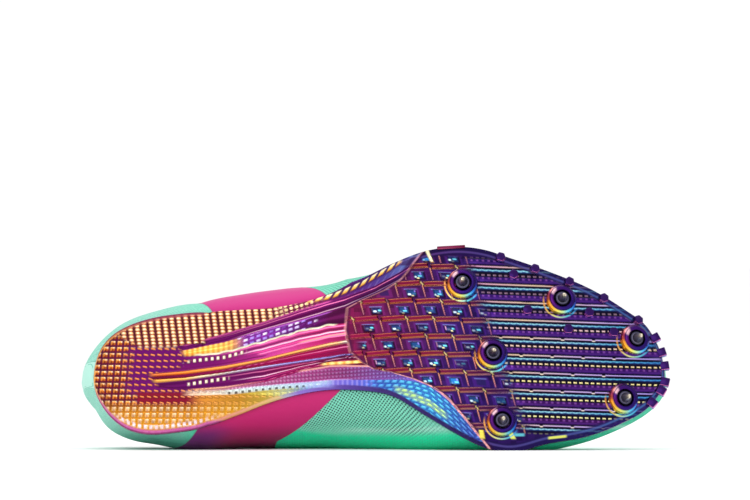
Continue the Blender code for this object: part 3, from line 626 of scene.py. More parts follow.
def forefoot_field(p, q, inside):
    """The ball's rows: bars with cells behind, thin double lines with beads in front."""
    drift = line(p, *DRIFT)
    phase = (q - ROW_START - drift) / ROW_PITCH
    row = np.floor(phase + 0.2)
    r = (phase - row) * ROW_PITCH
    front = step(p - 0.35 * (q - 340), 486, 506)
    rear = 1 - front
    seen = within(phase, -0.6, 9.35, 0.08)
    mottle = 0.7 + 0.6 * speckle(p / 6, q / 4, 3)
    colour = graded(p, (350, "#5A0A34"), (400, "#3E0A3C"), (440, "#280A44"), (480, "#200A48"),
                    (520, "#26104E"), (650, "#221458")) * mottle[:, None]
    height = np.zeros_like(p)
    # each bar's joints, from which a thin rib slants down to the next bar, painted bright salmon fading along
    # it: painted highlight
    joint = (p - CROSS_SLANT * np.clip(r, -2, 17) - 421.8 + 7.6 * (row - 1)) / JOINT_PITCH
    place = saw(joint)
    to_joint = np.minimum(place, 1 - place) * JOINT_PITCH
    rib = (1 - step(to_joint, 0.35, 1.0)) * within(r, 2, 15.6, 0.6) * rear * seen
    colour = paint(colour, graded(r, (2, "#F0A080"), (15, "#A85A88")), rib * 0.85)
    height += 0.5 * rib
    bar = r + 1.8 * (place - 0.5) * rear
    whole = step(to_joint, 1.2, 2.2)
    body = strip(bar, 1.9, 0.4) * rear * seen * whole
    colour = paint(colour, graded(p, (350, "#700832"), (430, "#5C082A"), (500, "#300A3E")), body)
    # the bar's top and bottom edges painted warm: painted highlights
    bar_edge_highlights = np.maximum(strip(bar + 1.9, 0.35, 0.45), strip(bar - 1.9, 0.3, 0.45)) * rear * seen * whole
    warm = graded(p, (345, "#F0608A"), (380, "#FF9050"), (430, "#FFA060"), (470, "#F0A088"), (500, "#C890B0"))
    colour = paint(colour, warm, bar_edge_highlights)
    # a small gold mark at some joints: painted glint
    joint_glint = strip(bar, 1.2, 0.5) * (1 - whole) * rear * seen
    colour = paint(colour, "#C8B070", joint_glint * step(speckle(joint + 0.5, row + 0.5, 7), 0.4, 0.6) * 0.8)
    height += 1.0 * body
    # a small dark block in each cell, with a painted highlight along its top edge and glints on it
    lot = speckle(joint, row + 0.5, 2)
    other = speckle(joint, row + 0.5, 9)
    a = (place - 0.5) * JOINT_PITCH
    b = r - 9.2
    cells = rear * seen * step(p, 354, 368)
    frame_amount = within(a, -8.2, 8.2, 0.6) * within(b, -5.0, 5.4, 0.6) * cells
    block = within(a, -6.4 + 3 * lot, 6.8 - 2 * other, 0.8) * within(b, -3.8 + 1.5 * other, 4.4, 0.8) * cells
    block = block * step(lot + other, 0.25, 0.4)
    colour = paint(colour, graded(p, (360, "#6A1848"), (440, "#4A1A70"), (500, "#3A1A78")),
                   frame_amount * 0.6)
    colour = paint(colour, "#0C0620", block * 0.92)
    height += 0.5 * block
    inner = within(a, -4.4, 4.8, 0.5) * within(b, -2.4, 3.0, 0.5) * cells
    colour = paint(colour,
                   graded(lot, (0.0, "#1E1044"), (0.5, "#1A2A60"), (0.9, "#164074"),
                          (0.97, "#2A8CE0")), inner * 0.8)
    edge = within(a, -6.0, 6.4, 0.4) * strip(b + 3.4, 0.45, 0.3) * cells
    colour = paint(colour, "#6A78B8", edge * 0.7)
    for x, y, w, h, code in CELL_GLINTS:
        shine_a, shine_b = x + 3 * (other - 0.5), y + 1.6 * (lot - 0.5)
        shine = within(a, shine_a - w, shine_a + w, 0.5)
        shine = shine * within(b, shine_b - h, shine_b + h, 0.5) * cells
        colour = paint(colour, code,
                       shine * (0.1 + 0.8 * step(speckle(joint + x, row + y, 4), 0.3, 0.8)) * block)
    # front: a pale line and a cyan line, painted highlights along the rows' edges, beads with painted glints,
    # painted glints at the kinks, and a mottled purple band
    on = front * seen
    colour = paint(colour, "#0A0616", (within(r, -3.6, 1.2, 0.4) + within(r, 2.9, 8.6, 0.5)) * on * 0.9)
    grain = 0.7 + 0.6 * speckle(p / 2.2, q / 1.8, 6)
    purple = graded(q, (260, "#26105A"), (320, "#381268"), (380, "#3A0F60"), (430, "#3C0E52"))
    purple_on = (within(r, 8.4, 13.4, 0.5) + within(r, -5.2, -3.6, 0.3)) * on
    colour = paint(colour, purple * grain[:, None], purple_on * 0.95)
    colour = paint(colour, "#5A3090", strip(r - 12.2, 0.6, 0.5) * on * 0.45)
    kink_at = saw((p + 10.5 * row) / KINK_PITCH)
    kink = (1 - step(np.abs(kink_at - 0.5) * KINK_PITCH, 0.8, 2.2)) * (row > 3.5) * (1 - step(p, 620, 632))
    hue = graded(p + 0.3 * q, (560, "#E8A8D0"), (620, "#F0D0B0"), (690, "#D8B8F0"), (760, "#B8A0F0"))
    pale = strip(r + 2.0 - 1.0 * kink, 0.55, 0.35) * on
    colour = paint(colour, hue, pale * 0.9)
    dashed = 0.85 + 0.15 * np.cos(2 * pi * p / 3.1)
    colour = paint(colour, "#22468C", within(r, 0.7, 3.2, 0.5) * on * 0.7)
    cyan = strip(r - 1.7 - 0.25 * np.sin(p / 1.1), 0.65, 0.4) * on
    colour = paint(colour, graded(p, (500, "#8CD8E8"), (560, "#A0E0F0"), (620, "#58B8DC"), (655, "#3E90D0")),
                   cyan * dashed)
    colour = paint(colour, "#14082C", kink * within(r, -5.0, -1.6, 0.5) * on * 0.9)
    colour = paint(colour, "#FFF0C8", kink * strip(r + 1.0, 0.5, 0.4) * on * 0.7)
    beaded = ((row > 2.5) & (row < 8.5)).astype(float)
    bead = strip(r - 6.4, 0.75, 0.35) * marks(p / BEAD_PITCH, -0.4, 0.1) * on * (0.3 + 0.7 * beaded)
    colour = paint(colour, graded(q, (310, "#E0B0D0"), (350, "#F0D0B8"), (380, "#FBE8A0"), (430, "#F4F0B0")),
                   bead)
    faint = strip(r - 10.0, 0.9, 0.4) * marks(p / BEAD_PITCH, 0.1, 0.5) * on
    colour = paint(colour, "#9A5AB8", faint * 0.45)
    height += on * (0.9 * within(r, -16.0, -2.8, 0.7) + 0.9 * within(r, 8.2, 15.4, 0.7)
                    + 0.45 * within(r, 1.0, 2.9, 0.5) + 0.4 * bead)
    lip = step(inside, 4.6, 3.4)
    colour = paint(colour, graded(p, (430, "#1A0C3C"), (520, "#1C1048"), (640, "#221C5C")), lip * 0.85)
    gleam = strip(inside - 2.6, 0.5, 0.4)
    colour = paint(colour, graded(p, (430, "#6A4090"), (560, "#5A60B0"), (640, "#4A80C0")), gleam * 0.5)
    return height * (1 - lip), colour


def boss_spots():
    """Where the spike bosses lie on the sole's drawing."""
    points = plate_point(PLATE_START + PLATE_LENGTH * SPIKES["along"], SPIKES["across"])
    return zip(*drawing_place(lay_down(np.stack(points, axis=1))))


def tread(p, q, inside):
    """The whole underside: relief in millimetres and colour, at places of the drawing."""
    heel_high, heel_colour = heel_field(p, q, inside)
    waist_high, waist_colour = waist_field(p, q, inside)
    ball_high, ball_colour = forefoot_field(p, q, inside)
    start = line(q, (300, 205), (343, 205), (345, 172), (350, 182), (354, 184), (360, 190), (368, 178),
                 (374, 150), (386, 158), (389, 190), (391, 212), (393.5, 246), (396, 282), (430, 292))
    at_waist = step(p - start, -4, 4)
    height = heel_high + (waist_high - heel_high) * at_waist
    colour = paint(heel_colour, waist_colour, at_waist)
    upper_side = line(p, (186, 391), (232, 389.6), (265, 386), (300, 383))
    # a gold wash over the medial flange: painted sheen
    gold_sheen = within(q - upper_side, 2, 30, 1) * within(p, 196, 292, 10)
    colour = paint(colour, graded(p, (200, "#E8A030"), (240, "#F0B830"), (265, "#F0DC50"), (292, "#C8DCB0")),
                   gold_sheen * 0.45)
    squares = marks(p / STUD_COLUMN, 0.1, 0.5) * strip(q - upper_side - 3.0, 1.2, 0.5)
    # a pale fringe along the flange's top edge: painted reflection, broken up at random
    fringe = graded(p, (188, "#E8C8A8"), (225, "#D8D8D0"), (262, "#CFE6EE"), (300, "#BFD4F4"),
                    (330, "#9CA4E8"))
    sheen_breakup = 0.45 + 0.4 * speckle(p / 4.6, q / 2.2, 17)
    colour = paint(colour, fringe, within(q - upper_side, -0.6, 4.2, 0.8) * within(p, 188, 330, 8) * sheen_breakup)
    colour = paint(colour, "#2A1608", squares * within(p, 226, 306, 4) * 0.85)
    edge = line(q, *FRONT_EDGE)
    at_ball = step(p - edge, -0.9, 0.9)
    height = height + (ball_high - height) * at_ball
    colour = paint(colour, ball_colour, at_ball)
    # the ball's step: a dark edge with a painted highlight line on it, all the way round its back
    colour = paint(colour, "#300A30", within(p - edge, 0.5, 4, 1.2) * 0.6)
    step_highlight = strip(p - edge, 1.2, 0.7)
    colour = paint(colour, "#E8A0A0", step_highlight * (0.35 + 0.6 * step(q, 366, 372)))
    lateral = 1 - step(q, 296, 306)
    colour = paint(colour, "#300A4A", within(p - edge, -6, -1.0, 1.6) * lateral * 0.75)
    height += 0.3 * within(p - edge, -16, 0, 2) * lateral
    height = height * (1 - step(inside, 1.8, 0.6))
    # small bright facets near the lateral edge and the toe: painted highlights, some of them raised
    bright = within(p - 0.45 * (q - 256), 427.5, 431.0, 0.8) * within(q, 249, 262.5, 0.8)
    colour = paint(colour, "#FFF2C4", bright)
    tab = within(p - 0.15 * (q - 433), 479, 484, 0.8) * within(q, 429, 438, 0.8)
    colour = paint(colour, "#E8D858", tab)
    height += 0.8 * bright + 0.6 * tab
    gold = within(p - 0.5 * (q - 433), 508, 513, 1.0) * within(q, 430, 438, 1)
    gold += within(p, 548, 566, 1.5) * strip(q - 436.5 + 0.1 * (p - 556), 1.2)
    colour = paint(colour, "#E4E868", gold)
    colour = paint(colour, "#6AD0E0", within(p, 514, 524, 1.5) * strip(q - 434, 1.4) * 0.8)
    # a thin bright arc round each boss's foot: painted reflection
    for centre_p, centre_q in boss_spots():
        turn = np.degrees(np.arctan2(q - centre_q, p - centre_p)) % 360
        ring = strip(np.hypot(p - centre_p, q - centre_q) - 17.6, 0.7, 0.5)
        arc = ring * (step(turn, 20, 50) * (1 - step(turn, 170, 200)))
        colour = paint(colour,
                       graded(turn, (30, "#3A8ADC"), (70, "#60D0E0"), (110, "#E8EC90"),
                              (160, "#F0A850")), arc * 0.85)
    return height, np.clip(colour, 0, 1)


# Making meshes

def mesh_of(bm, name):
    mesh = bpy.data.meshes.new(name)
    bm.to_mesh(mesh)
    bm.free()
    return mesh


def vertex_array(mesh):
    co = np.empty(len(mesh.vertices) * 3)
    mesh.vertices.foreach_get("co", co)
    return co.reshape(-1, 3)


def vertex_normals(mesh):
    mesh.shade_smooth()
    return np.array([normal.vector for normal in mesh.vertex_normals])


def bm_points(bm):
    return np.array([vertex.co for vertex in bm.verts])


def move_vertices(mesh, points):
    mesh.vertices.foreach_set("co", np.asarray(points, dtype=np.float32).ravel())


def unit_grid(name, columns, rows):
    """A grid mesh, and how far along and across it each vertex lies, from 0 to 1."""
    bm = bmesh.new()
    bmesh.ops.create_grid(bm, x_segments=columns, y_segments=rows, size=1)
    mesh = mesh_of(bm, name)
    uv = (vertex_array(mesh)[:, :2] + 1) / 2
    return mesh, uv[:, 0], uv[:, 1]


def put_values(mesh, name, values, kind="FLOAT_VECTOR", key="vector"):
    """Values kept at a mesh's vertices, for its material to read."""
    layer = mesh.attributes.new(name, kind, "POINT")
    layer.data.foreach_set(key, np.asarray(values, dtype=np.float32).ravel())


def put_colours(mesh, name, colour):
    put_values(mesh, name, np.hstack((colour, np.ones((len(colour), 1)))), "FLOAT_COLOR", "color")


def joined(meshes, name, distance=4e-6, cap=False):
    """Meshes welded into one, facing out."""
    bm = bmesh.new()
    for mesh in meshes:
        bm.from_mesh(mesh)
    bmesh.ops.remove_doubles(bm, verts=bm.verts[:], dist=distance)
    if cap:
        bmesh.ops.holes_fill(bm, edges=[edge for edge in bm.edges if edge.is_boundary], sides=0)
    bmesh.ops.recalc_face_normals(bm, faces=bm.faces[:])
    return mesh_of(bm, name)


def dress(mesh, finish, sharp):
    mesh.materials.clear()
    mesh.materials.append(finish)
    mesh.shade_smooth()
    mesh.set_sharp_from_angle(angle=radians(sharp))


def add_piece(name, mesh, finish, replaced=(), sharp=60):
    """A piece of the scene, riding on the shoe."""
    piece = bpy.data.objects.new(name, mesh)
    dress(mesh, finish, sharp)
    bpy.context.scene.collection.objects.link(piece)
    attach(piece, "root")
    if replaced:
        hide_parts(*replaced)
    return piece


def drawing_place(points):
    """Where points of the lying shoe, in millimetres, fall on the sole's drawing."""
    return SQUARE_ORIGIN[0] + points[:, 0] / SQUARE, SQUARE_ORIGIN[1] - points[:, 2] / SQUARE


# Materials

def add_node(tree, kind, inputs=None, **settings):
    """A shader node with its settings, its values and its links."""
    made = tree.nodes.new("ShaderNode" + kind)
    for name, value in settings.items():
        setattr(made, name, value)
    for key, value in (inputs or {}).items():
        if isinstance(value, bpy.types.NodeSocket):
            tree.links.new(value, made.inputs[key])
        else:
            made.inputs[key].default_value = value
    return made


def new_material(name, **sockets):
    """A material, its nodes, its shader, and the coordinates of the piece it is on."""
    made = bpy.data.materials.new(name)
    made.use_nodes = True
    tree = made.node_tree
    shader = tree.nodes["Principled BSDF"]
    for key, value in sockets.items():
        shader.inputs[key.replace("_", " ")].default_value = value
    return made, tree, shader, add_node(tree, "TexCoord").outputs["Object"]


def use_tint(tree, shader):
    """The base colour comes from the colours kept at the piece's vertices."""
    tint = add_node(tree, "Attribute", attribute_name="tint")
    tree.links.new(tint.outputs["Color"], shader.inputs["Base Color"])


def use_bump(tree, shader, height, strength, distance):
    bump = add_node(tree, "Bump", {"Height": height, "Strength": strength, "Distance": distance})
    tree.links.new(bump.outputs["Normal"], shader.inputs["Normal"])


def iridescent_plate():
    # hard nylon plate under a mirror-like iridescent lacquer: colour painted along its relief, with its
    # highlights, reflections and shade painted in, glossy, finely rippled
    made, tree, shader, place = new_material("iridescent_lacquered_nylon", Metallic=0.8, Roughness=0.27,
                                             Specular_IOR_Level=0.2)
    use_tint(tree, shader)
    ripple = add_node(tree, "TexNoise", {"Vector": place, "Scale": 900.0, "Detail": 2.0})
    use_bump(tree, shader, ripple.outputs["Fac"], 0.12, 0.0002)
    return made


def spike_steel():
    # turned and plated steel: bright, with fine turning marks
    made, tree, shader, place = new_material("plated_turned_steel", Metallic=1.0)
    use_tint(tree, shader)
    grain = add_node(tree, "TexNoise", {"Vector": place, "Scale": 2500.0, "Detail": 3.0})
    spread = add_node(tree, "MapRange", {"Value": grain.outputs["Fac"], "To Min": 0.3, "To Max": 0.5})
    tree.links.new(spread.outputs["Result"], shader.inputs["Roughness"])
    return made


def upper_cloth():
    # engineered mesh with film panels: matt knitted yarn with pinholes, and satin film where it is laid on
    made, tree, shader, coordinates = new_material("engineered_mesh_with_film", Roughness=0.8,
                                                   Specular_IOR_Level=0.2)

    def node(kind, inputs=None, output=0, **settings):
        return add_node(tree, kind, inputs, **settings).outputs[output]

    def maths(operation, *values):
        return node("Math", dict(enumerate(values)), operation=operation)

    def times(*values):
        return maths("MULTIPLY", *values)

    def ranged(value, low, high, start=0.0, end=1.0):
        return node("MapRange", {"Value": value, "From Min": low, "From Max": high,
                                 "To Min": start, "To Max": end})

    def border(distance, near, far, most):
        """A line along a border: most within near of it, falling to 0 at far."""
        return ranged(maths("ABSOLUTE", distance), near, far, most, 0.0)

    def mixed(amount, under, over):
        return node("Mix", {"Factor": amount, 6: under, 7: over}, 2, data_type="RGBA")

    def wave(a, b, pitch, slant):
        """Lines of a pitch in millimetres, from 0 to 1, slanted by a share of the other direction."""
        tilted = maths("ADD", a, times(b, slant))
        return ranged(maths("COSINE", times(tilted, 2 * pi / pitch)), -1.0, 1.0)

    place = add_node(tree, "SeparateXYZ", {0: node("Attribute", output=1, attribute_name="place")})
    zones = add_node(tree, "SeparateXYZ", {0: node("Attribute", output=1, attribute_name="zones")})
    along, up = place.outputs[0], place.outputs[1]
    film_edge, band_edge, pins = zones.outputs
    film = ranged(film_edge, -0.15, 0.15)
    band = ranged(band_edge, -0.15, 0.15)
    lines = wave(along, up, 1.5, 0.6)
    cross = wave(up, along, 1.5, -0.6)
    hole = times(ranged(times(lines, cross), 0.3, 0.5), pins)
    open_cloth = times(maths("SUBTRACT", 1.0, film), maths("SUBTRACT", 1.0, band))
    thread = times(ranged(lines, 0.5, 1.0, 0.0, 0.2), open_cloth)
    grain = node("TexNoise", {"Vector": coordinates, "Scale": 1400.0, "Detail": 2.0})
    dusty = mixed(times(ranged(grain, 0.42, 0.62, 0.0, 0.35), open_cloth),
                  node("Attribute", attribute_name="tint"), rgba("#5FAE9C"))
    # pinholes painted near-black: painted shade seen through them
    cloth = mixed(hole, mixed(thread, dusty, rgba("#4A9C86")), rgba("#041A18"))
    filmed = mixed(film, cloth, node("Attribute", attribute_name="film"))
    rimmed = mixed(border(film_edge, 0.25, 0.6, 0.35), filmed, rgba("#7A2458"))
    banded = mixed(times(band, 0.8), rimmed, rgba("#B4E4D6"))
    stitch = times(border(maths("SUBTRACT", band_edge, 1.6), 0.2, 0.4, 0.8),
                   ranged(wave(along, up, 2.2, 0.6), 0.35, 0.5))
    stitched = mixed(stitch, banded, rgba("#5FB79E"))
    tree.links.new(mixed(border(band_edge, 0.12, 0.4, 0.55), stitched, rgba("#3E8F7C")),
                   shader.inputs["Base Color"])
    tree.links.new(ranged(maths("MAXIMUM", film, times(band, 0.4)), 0.0, 1.0, 0.8, 0.42),
                   shader.inputs["Roughness"])
    knit = times(times(wave(along, up, 0.8, 0.0), wave(up, along, 0.8, 0.0)), open_cloth)
    use_bump(tree, shader, maths("SUBTRACT", times(knit, 0.7), hole), 0.5, 0.0003)
    return made


def plain_cloth(name, code, dark, pitch, roughness=0.85):
    """Woven cloth in one colour, with its yarn at the pitch given in millimetres."""
    made, tree, shader, place = new_material(name, Roughness=roughness)
    yarn = add_node(tree, "TexVoronoi", {"Vector": place, "Scale": 1000.0 / pitch}).outputs["Distance"]
    mixed = add_node(tree, "Mix", {"Factor": yarn, 6: rgba(code), 7: rgba(dark)}, data_type="RGBA")
    tree.links.new(mixed.outputs[2], shader.inputs["Base Color"])
    use_bump(tree, shader, yarn, 0.5, 0.0004)
    return made


# The sole plate

# Its pieces, end to end: where each ends, the spacing of its vertices along it, and its rows across
PLATE_PIECES = (
    ("sole_plate_heel", 131.0, 0.34, 200),
    ("sole_plate_ball", 205.0, 0.31, 390),
    ("sole_plate_toe", PLATE_START + PLATE_LENGTH, 0.31, 370),
)
TIP = 8.0
TIP_STATIONS = 26
EDGE_SLOPE = 2.0
EDGE_START = 0.4


def stations(start, end, spacing, round_start, round_end):
    """Places along the shoe, closer together round its ends."""
    low = start + (TIP if round_start else 0.0)
    high = end - (TIP if round_end else 0.0)
    rounded = TIP * (1 - np.cos(np.linspace(0, pi / 2, TIP_STATIONS)[:-1]))
    pieces = [np.linspace(low, high, int((high - low) / spacing))]
    if round_start:
        pieces.insert(0, start + rounded)
    if round_end:
        pieces.append(end - rounded[::-1])
    return np.concatenate(pieces)


def plate_section(name, places, rows):
    """A length of the plate: its underside with relief and colours, and its plain top."""
    mesh, u, v = unit_grid(name, len(places) - 1, rows + 4)
    row = np.round(v * (rows + 4))
    across = np.clip(-1 + 2 * row / rows, -1, 1)
    x, y, z = plate_point(np.interp(u, np.linspace(0, 1, len(places)), places), across)
    lateral, medial = plate_edges(x)
    # past the medial edge the last four rows come back over the top to the lateral edge
    top = sole_height(x) + PLATE_THICKNESS
    y = np.select([row == rows + 1, row == rows + 2, row > rows + 2],
                  [medial, (medial + lateral) / 2, lateral], y)
    z = np.select([row == rows + 4, row > rows], [plate_point(x, -1.0)[2], top], z)
    p, q = drawing_place(lay_down(np.stack((x, y, z), axis=1)))
    ends = np.minimum(x - PLATE_START, PLATE_START + PLATE_LENGTH - x)
    inside = np.minimum((1 - np.abs(across)) * (medial - lateral) / 2, ends * EDGE_SLOPE + EDGE_START)
    height, colour = tread(p, q, inside)
    under = (row <= rows) | (row == rows + 4)
    points = lay_down(np.stack((x, y, z - np.where(under, height, 0.0)), axis=1))
    points[:, 2] = np.maximum(points[:, 2], 0.0)
    move_vertices(mesh, points * MM)
    put_colours(mesh, "tint", colour)
    return joined([mesh], name, cap=True)


def build_plate(finish):
    """The plate in three pieces, end to end: the heel and waist, the ball, and the toe."""
    start = PLATE_START
    for number, (name, end, spacing, rows) in enumerate(PLATE_PIECES):
        mesh = plate_section(name, stations(start, end, spacing, number == 0, number == 2), rows)
        add_piece(name, mesh, finish, ("outsole_plate",) if number == 0 else ())
        start = end


def plate_frame(x, across):
    """A place on the underside, with its Z axis pointing out of the sole."""
    point, ahead, aside = (np.array([float(value) for value in plate_point(*at)])
                           for at in ((x, across), (x + 1.0, across), (x, across + 0.02)))
    outward = np.cross(aside - point, ahead - point)
    turn = Vector(outward).to_track_quat("Z", "Y").to_matrix().to_4x4()
    return laid_matrix() @ Matrix.Translation(point) @ turn


def plate_places(rows):
    return [(PLATE_START + PLATE_LENGTH * along, across)
            for along, across in zip(rows["along"], rows["across"])]


def turned(profile, steps):
    """A closed solid turned from radii and heights, starting and ending on its axis."""
    bm = bmesh.new()
    verts = [bm.verts.new((radius, 0, height)) for radius, height in profile]
    edges = [bm.edges.new(pair) for pair in zip(verts, verts[1:])]
    bmesh.ops.spin(bm, geom=verts + edges, axis=(0, 0, 1), cent=(0, 0, 0), steps=steps, angle=2 * pi,
                   use_merge=True)
    bmesh.ops.remove_doubles(bm, verts=bm.verts[:], dist=1e-4)
    bmesh.ops.recalc_face_normals(bm, faces=bm.faces[:])
    return bm


def bevelled(bm, width):
    bmesh.ops.bevel(bm, geom=bm.edges[:], offset=width, offset_type="OFFSET", segments=2, profile=0.5,
                    affect="EDGES", material=-1)


# Radii and heights over the plate, in millimetres, from the axis out and back
BOSS_PROFILE = ((0, -1.2), (7.7, -1.2), (7.5, 0.6), (7.1, 1.9), (6.4, 2.4), (6.1, 2.9), (5.9, 3.35),
                (5.4, 3.65), (4.9, 3.7), (4.4, 3.5), (4.05, 3.1), (3.9, 2.4), (3.85, 0.9), (0, 0.85))
PIN_PROFILE = ((0, 0.0), (3.35, 0.0), (3.35, 2.0), (3.2, 2.2), (2.75, 2.25), (2.45, 2.5), (2.2, 3.4),
               (1.5, 5.6), (1.0, 7.1), (0.85, 7.45), (0.5, 7.6), (0, 7.65))
PIN_FLAT_SHADING = np.array((0.45, 1.0, 0.7, 1.15, 0.55))
LUG_RADII = (2.75, 2.5)
LUG_DEPTH = 3.8
EDGE_BEVEL = 0.35
TOOTH_BEVEL = 0.4
RAIL_SPAN = (171.5, 185.0)
RAIL_SIZE = (13.6, 1.5, 1.9)
RAIL_LIFT = 0.0003


def build_bosses(finish):
    """Round bosses for the spikes: a bright crescent outside and a dark ring inside, painted reflections,
    with the socket painted dark as shade.
    """
    meshes = []
    for spot in plate_places(SPIKES):
        place = plate_frame(*spot)
        bm = turned(BOSS_PROFILE, 64)
        radius = np.hypot(*bm_points(bm)[:, :2].T)
        bm.transform(place)
        around = bm_points(bm) - np.array(place.translation)
        angle = np.degrees(np.arctan2(around[:, 2], around[:, 0])) % 360
        # the outer wall's crescent and the top ring change colour with the way each part faces: painted
        # reflections
        crescent = graded(angle, (0, "#2A1A6A"), (60, "#2C1058"), (120, "#4A1450"), (135, "#E07A6A"),
                          (150, "#8A2A50"), (175, "#A84A30"), (190, "#F09A30"), (225, "#F8B838"),
                          (255, "#F0E468"), (280, "#C0E8A0"), (300, "#60C8E8"), (325, "#2F80D8"),
                          (345, "#2A3AA0"), (360, "#2A1A6A"))
        ring = graded(angle, (0, "#241058"), (90, "#3A1266"), (200, "#52146A"), (280, "#2C1670"),
                      (360, "#241058"))
        colour = paint(ring, crescent, step(radius, 6.05, 6.35))
        # the socket painted near-black: painted shade
        colour = paint(colour, "#0E0818", step(radius, 4.3, 3.9))
        glint = (1 - step(np.abs(angle - 128), 8, 20)) * within(radius, 4.6, 6.4, 0.6)
        colour = paint(colour, "#F8C8D0", glint * 0.85)
        mesh = mesh_of(bm, "boss")
        put_colours(mesh, "tint", colour)
        meshes.append(mesh)
    add_piece("spike_bosses", joined(meshes, "spike_bosses", 1e-7), finish, sharp=35)


def build_pins(finish):
    """Turned spike pins, each in its boss, with five flats told by painted light and shade."""
    seat = BOSS_HEIGHT - SOCKET_DEPTH + CLEARANCE
    for number, spot in enumerate(plate_places(SPIKES), start=1):
        bm = turned(PIN_PROFILE, 40)
        across, aside = bm_points(bm)[:, :2].T
        radius = np.hypot(across, aside)
        face = np.floor((np.degrees(np.arctan2(aside, across)) + 17 * number) / 72) % 5
        # bright towards the tip and dark towards the base: painted highlight and shade
        colour = graded(radius, (0.9, "#E8DCC4"), (1.4, "#A8A6B4"), (2.4, "#7C7A8C"), (2.8, "#4C4A60"),
                        (3.4, "#2C2A40"))
        flat_shading = PIN_FLAT_SHADING[face.astype(int)]
        colour = np.clip(colour * (1 + (flat_shading - 1) * (1 - step(radius, 2.2, 2.6)))[:, None], 0, 1)
        bm.transform(plate_frame(*spot) @ Matrix.Translation((0, 0, seat)))
        mesh = mesh_of(bm, f"spike_{number}")
        put_colours(mesh, "tint", colour)
        add_piece(f"spike_{number}", mesh, finish, (f"spike_pin_{number}",), 30)


def lug_mesh(spot):
    bm = bmesh.new()
    bmesh.ops.create_cone(bm, cap_ends=True, segments=6, radius1=LUG_RADII[0], radius2=LUG_RADII[1],
                          depth=LUG_DEPTH, matrix=Matrix.Translation((0, 0, EDGE_BEVEL)))
    bevelled(bm, EDGE_BEVEL)
    bm.transform(plate_frame(*spot))
    return mesh_of(bm, "lug")


def tooth_mesh(side, along):
    pick, sign = (0, 1) if side == "lateral" else (1, -1)
    x = PLATE_START + PLATE_LENGTH * along
    before = x - TOOTH_WIDTH / 40
    y = float(plate_edges(x)[pick])
    out = Vector(((y - float(plate_edges(before)[pick])) * sign, (before - x) * sign, 0)).normalized()
    height = float(sole_height(x)) + TOOTH_HEIGHT / 2 - TOOTH_DROP
    middle = Vector((x, y, height)) + out * (TOOTH_PROUD - TOOTH_LENGTH / 2)
    bm = bmesh.new()
    bmesh.ops.create_cube(bm, size=1, matrix=Matrix.Diagonal((TOOTH_LENGTH, TOOTH_WIDTH, TOOTH_HEIGHT, 1)))
    bevelled(bm, TOOTH_BEVEL)
    turn = Matrix.Rotation(np.arctan2(out.y, out.x), 4, "Z")
    bm.transform(laid_matrix() @ Matrix.Translation(middle) @ turn)
    return mesh_of(bm, "tooth")


def build_lugs(finish):
    """Hexagonal lugs along the lateral edge and inside it, and square teeth round the toe."""
    spots = []
    for index in range(EDGE_LUG_COUNT):
        x = PLATE_START + PLATE_LENGTH * EDGE_LUG_START + index * LUG_SPACING
        lateral, medial = plate_edges(x)
        spots.append((x, float(-1 + 2 * LUG_INSET / (medial - lateral))))
    meshes = [lug_mesh(spot) for spot in spots + plate_places(INNER_LUGS)]
    meshes += [tooth_mesh(side, along) for side, along in TEETH]
    mesh = joined(meshes, "edge_lugs_and_teeth", 1e-7)
    # coloured by which way each face points: painted reflections, blue facing the floor and pink on the lower
    # flanks
    put_colours(mesh, "tint", graded(vertex_normals(mesh)[:, 2], (-0.95, "#1E2A78"), (-0.8, "#3A70C8"),
                                     (-0.62, "#F08CC8"), (-0.34, "#E070B8"), (-0.2, "#34125E"),
                                     (0.5, "#2C1250"), (0.9, "#5A3A80")))
    add_piece("edge_lugs_and_teeth", mesh, finish, sharp=30)


def build_edge_rail(finish):
    """A thin raised rail on the lateral edge, at the back of the ball."""
    bm = bmesh.new()
    bmesh.ops.create_cube(bm, size=1, matrix=Matrix.Diagonal((*RAIL_SIZE, 1)))
    bevelled(bm, EDGE_BEVEL)
    start, end = (plate_frame(x, -1.0).translation for x in RAIL_SPAN)
    turn = (end - start).to_track_quat("X", "Y").to_matrix().to_4x4() @ Matrix.Scale(MM, 4)
    bm.transform(Matrix.Translation((start + end) / 2 + Vector((0, 0, RAIL_LIFT))) @ turn)
    mesh = mesh_of(bm, "edge_rail")
    # painted pale along its lowest edge and dark over its middle: painted highlight and shade
    high = vertex_array(mesh)[:, 2]
    put_colours(mesh, "tint", graded(high, (high.min(), "#B05070"), (high.mean(), "#5A0A34"),
                                     (high.max(), "#70143C")))
    add_piece("edge_rail", mesh, finish, sharp=30)


# The upper

UPPER_COLUMNS = 216
UPPER_ROWS = 64
EYESTAY_FRONT = 0.7665
HEEL_TAPE_END = 0.0046

# The film's rear and front borders: where each starts, its slant up to a height, and from a height on
FILM_BORDERS = {
    "lateral": ((65, -0.45, 26, 30, 0.6), (120, -0.62, 28, 28, -0.1)),
    "medial": ((58, -0.42, 30, 34, 0.75), (128, -1.05, 32, 32, -0.1)),
}


def base_point(side, along, inset):
    margin = FEATHER_BACK + inset - FEATHER_INSET
    x = PLATE_START + margin + (PLATE_LENGTH - 2 * margin) * along
    width = width_at(along)
    lateral, medial = column(PLATE, "lateral", along) * width, column(PLATE, "medial", along) * width
    reach = (1 - inset / INSET_LIMIT) * (medial - lateral) / 2
    y = (lateral + medial) / 2 + (reach if side == "medial" else -reach)
    return np.array((x, y, bed_height(x)))


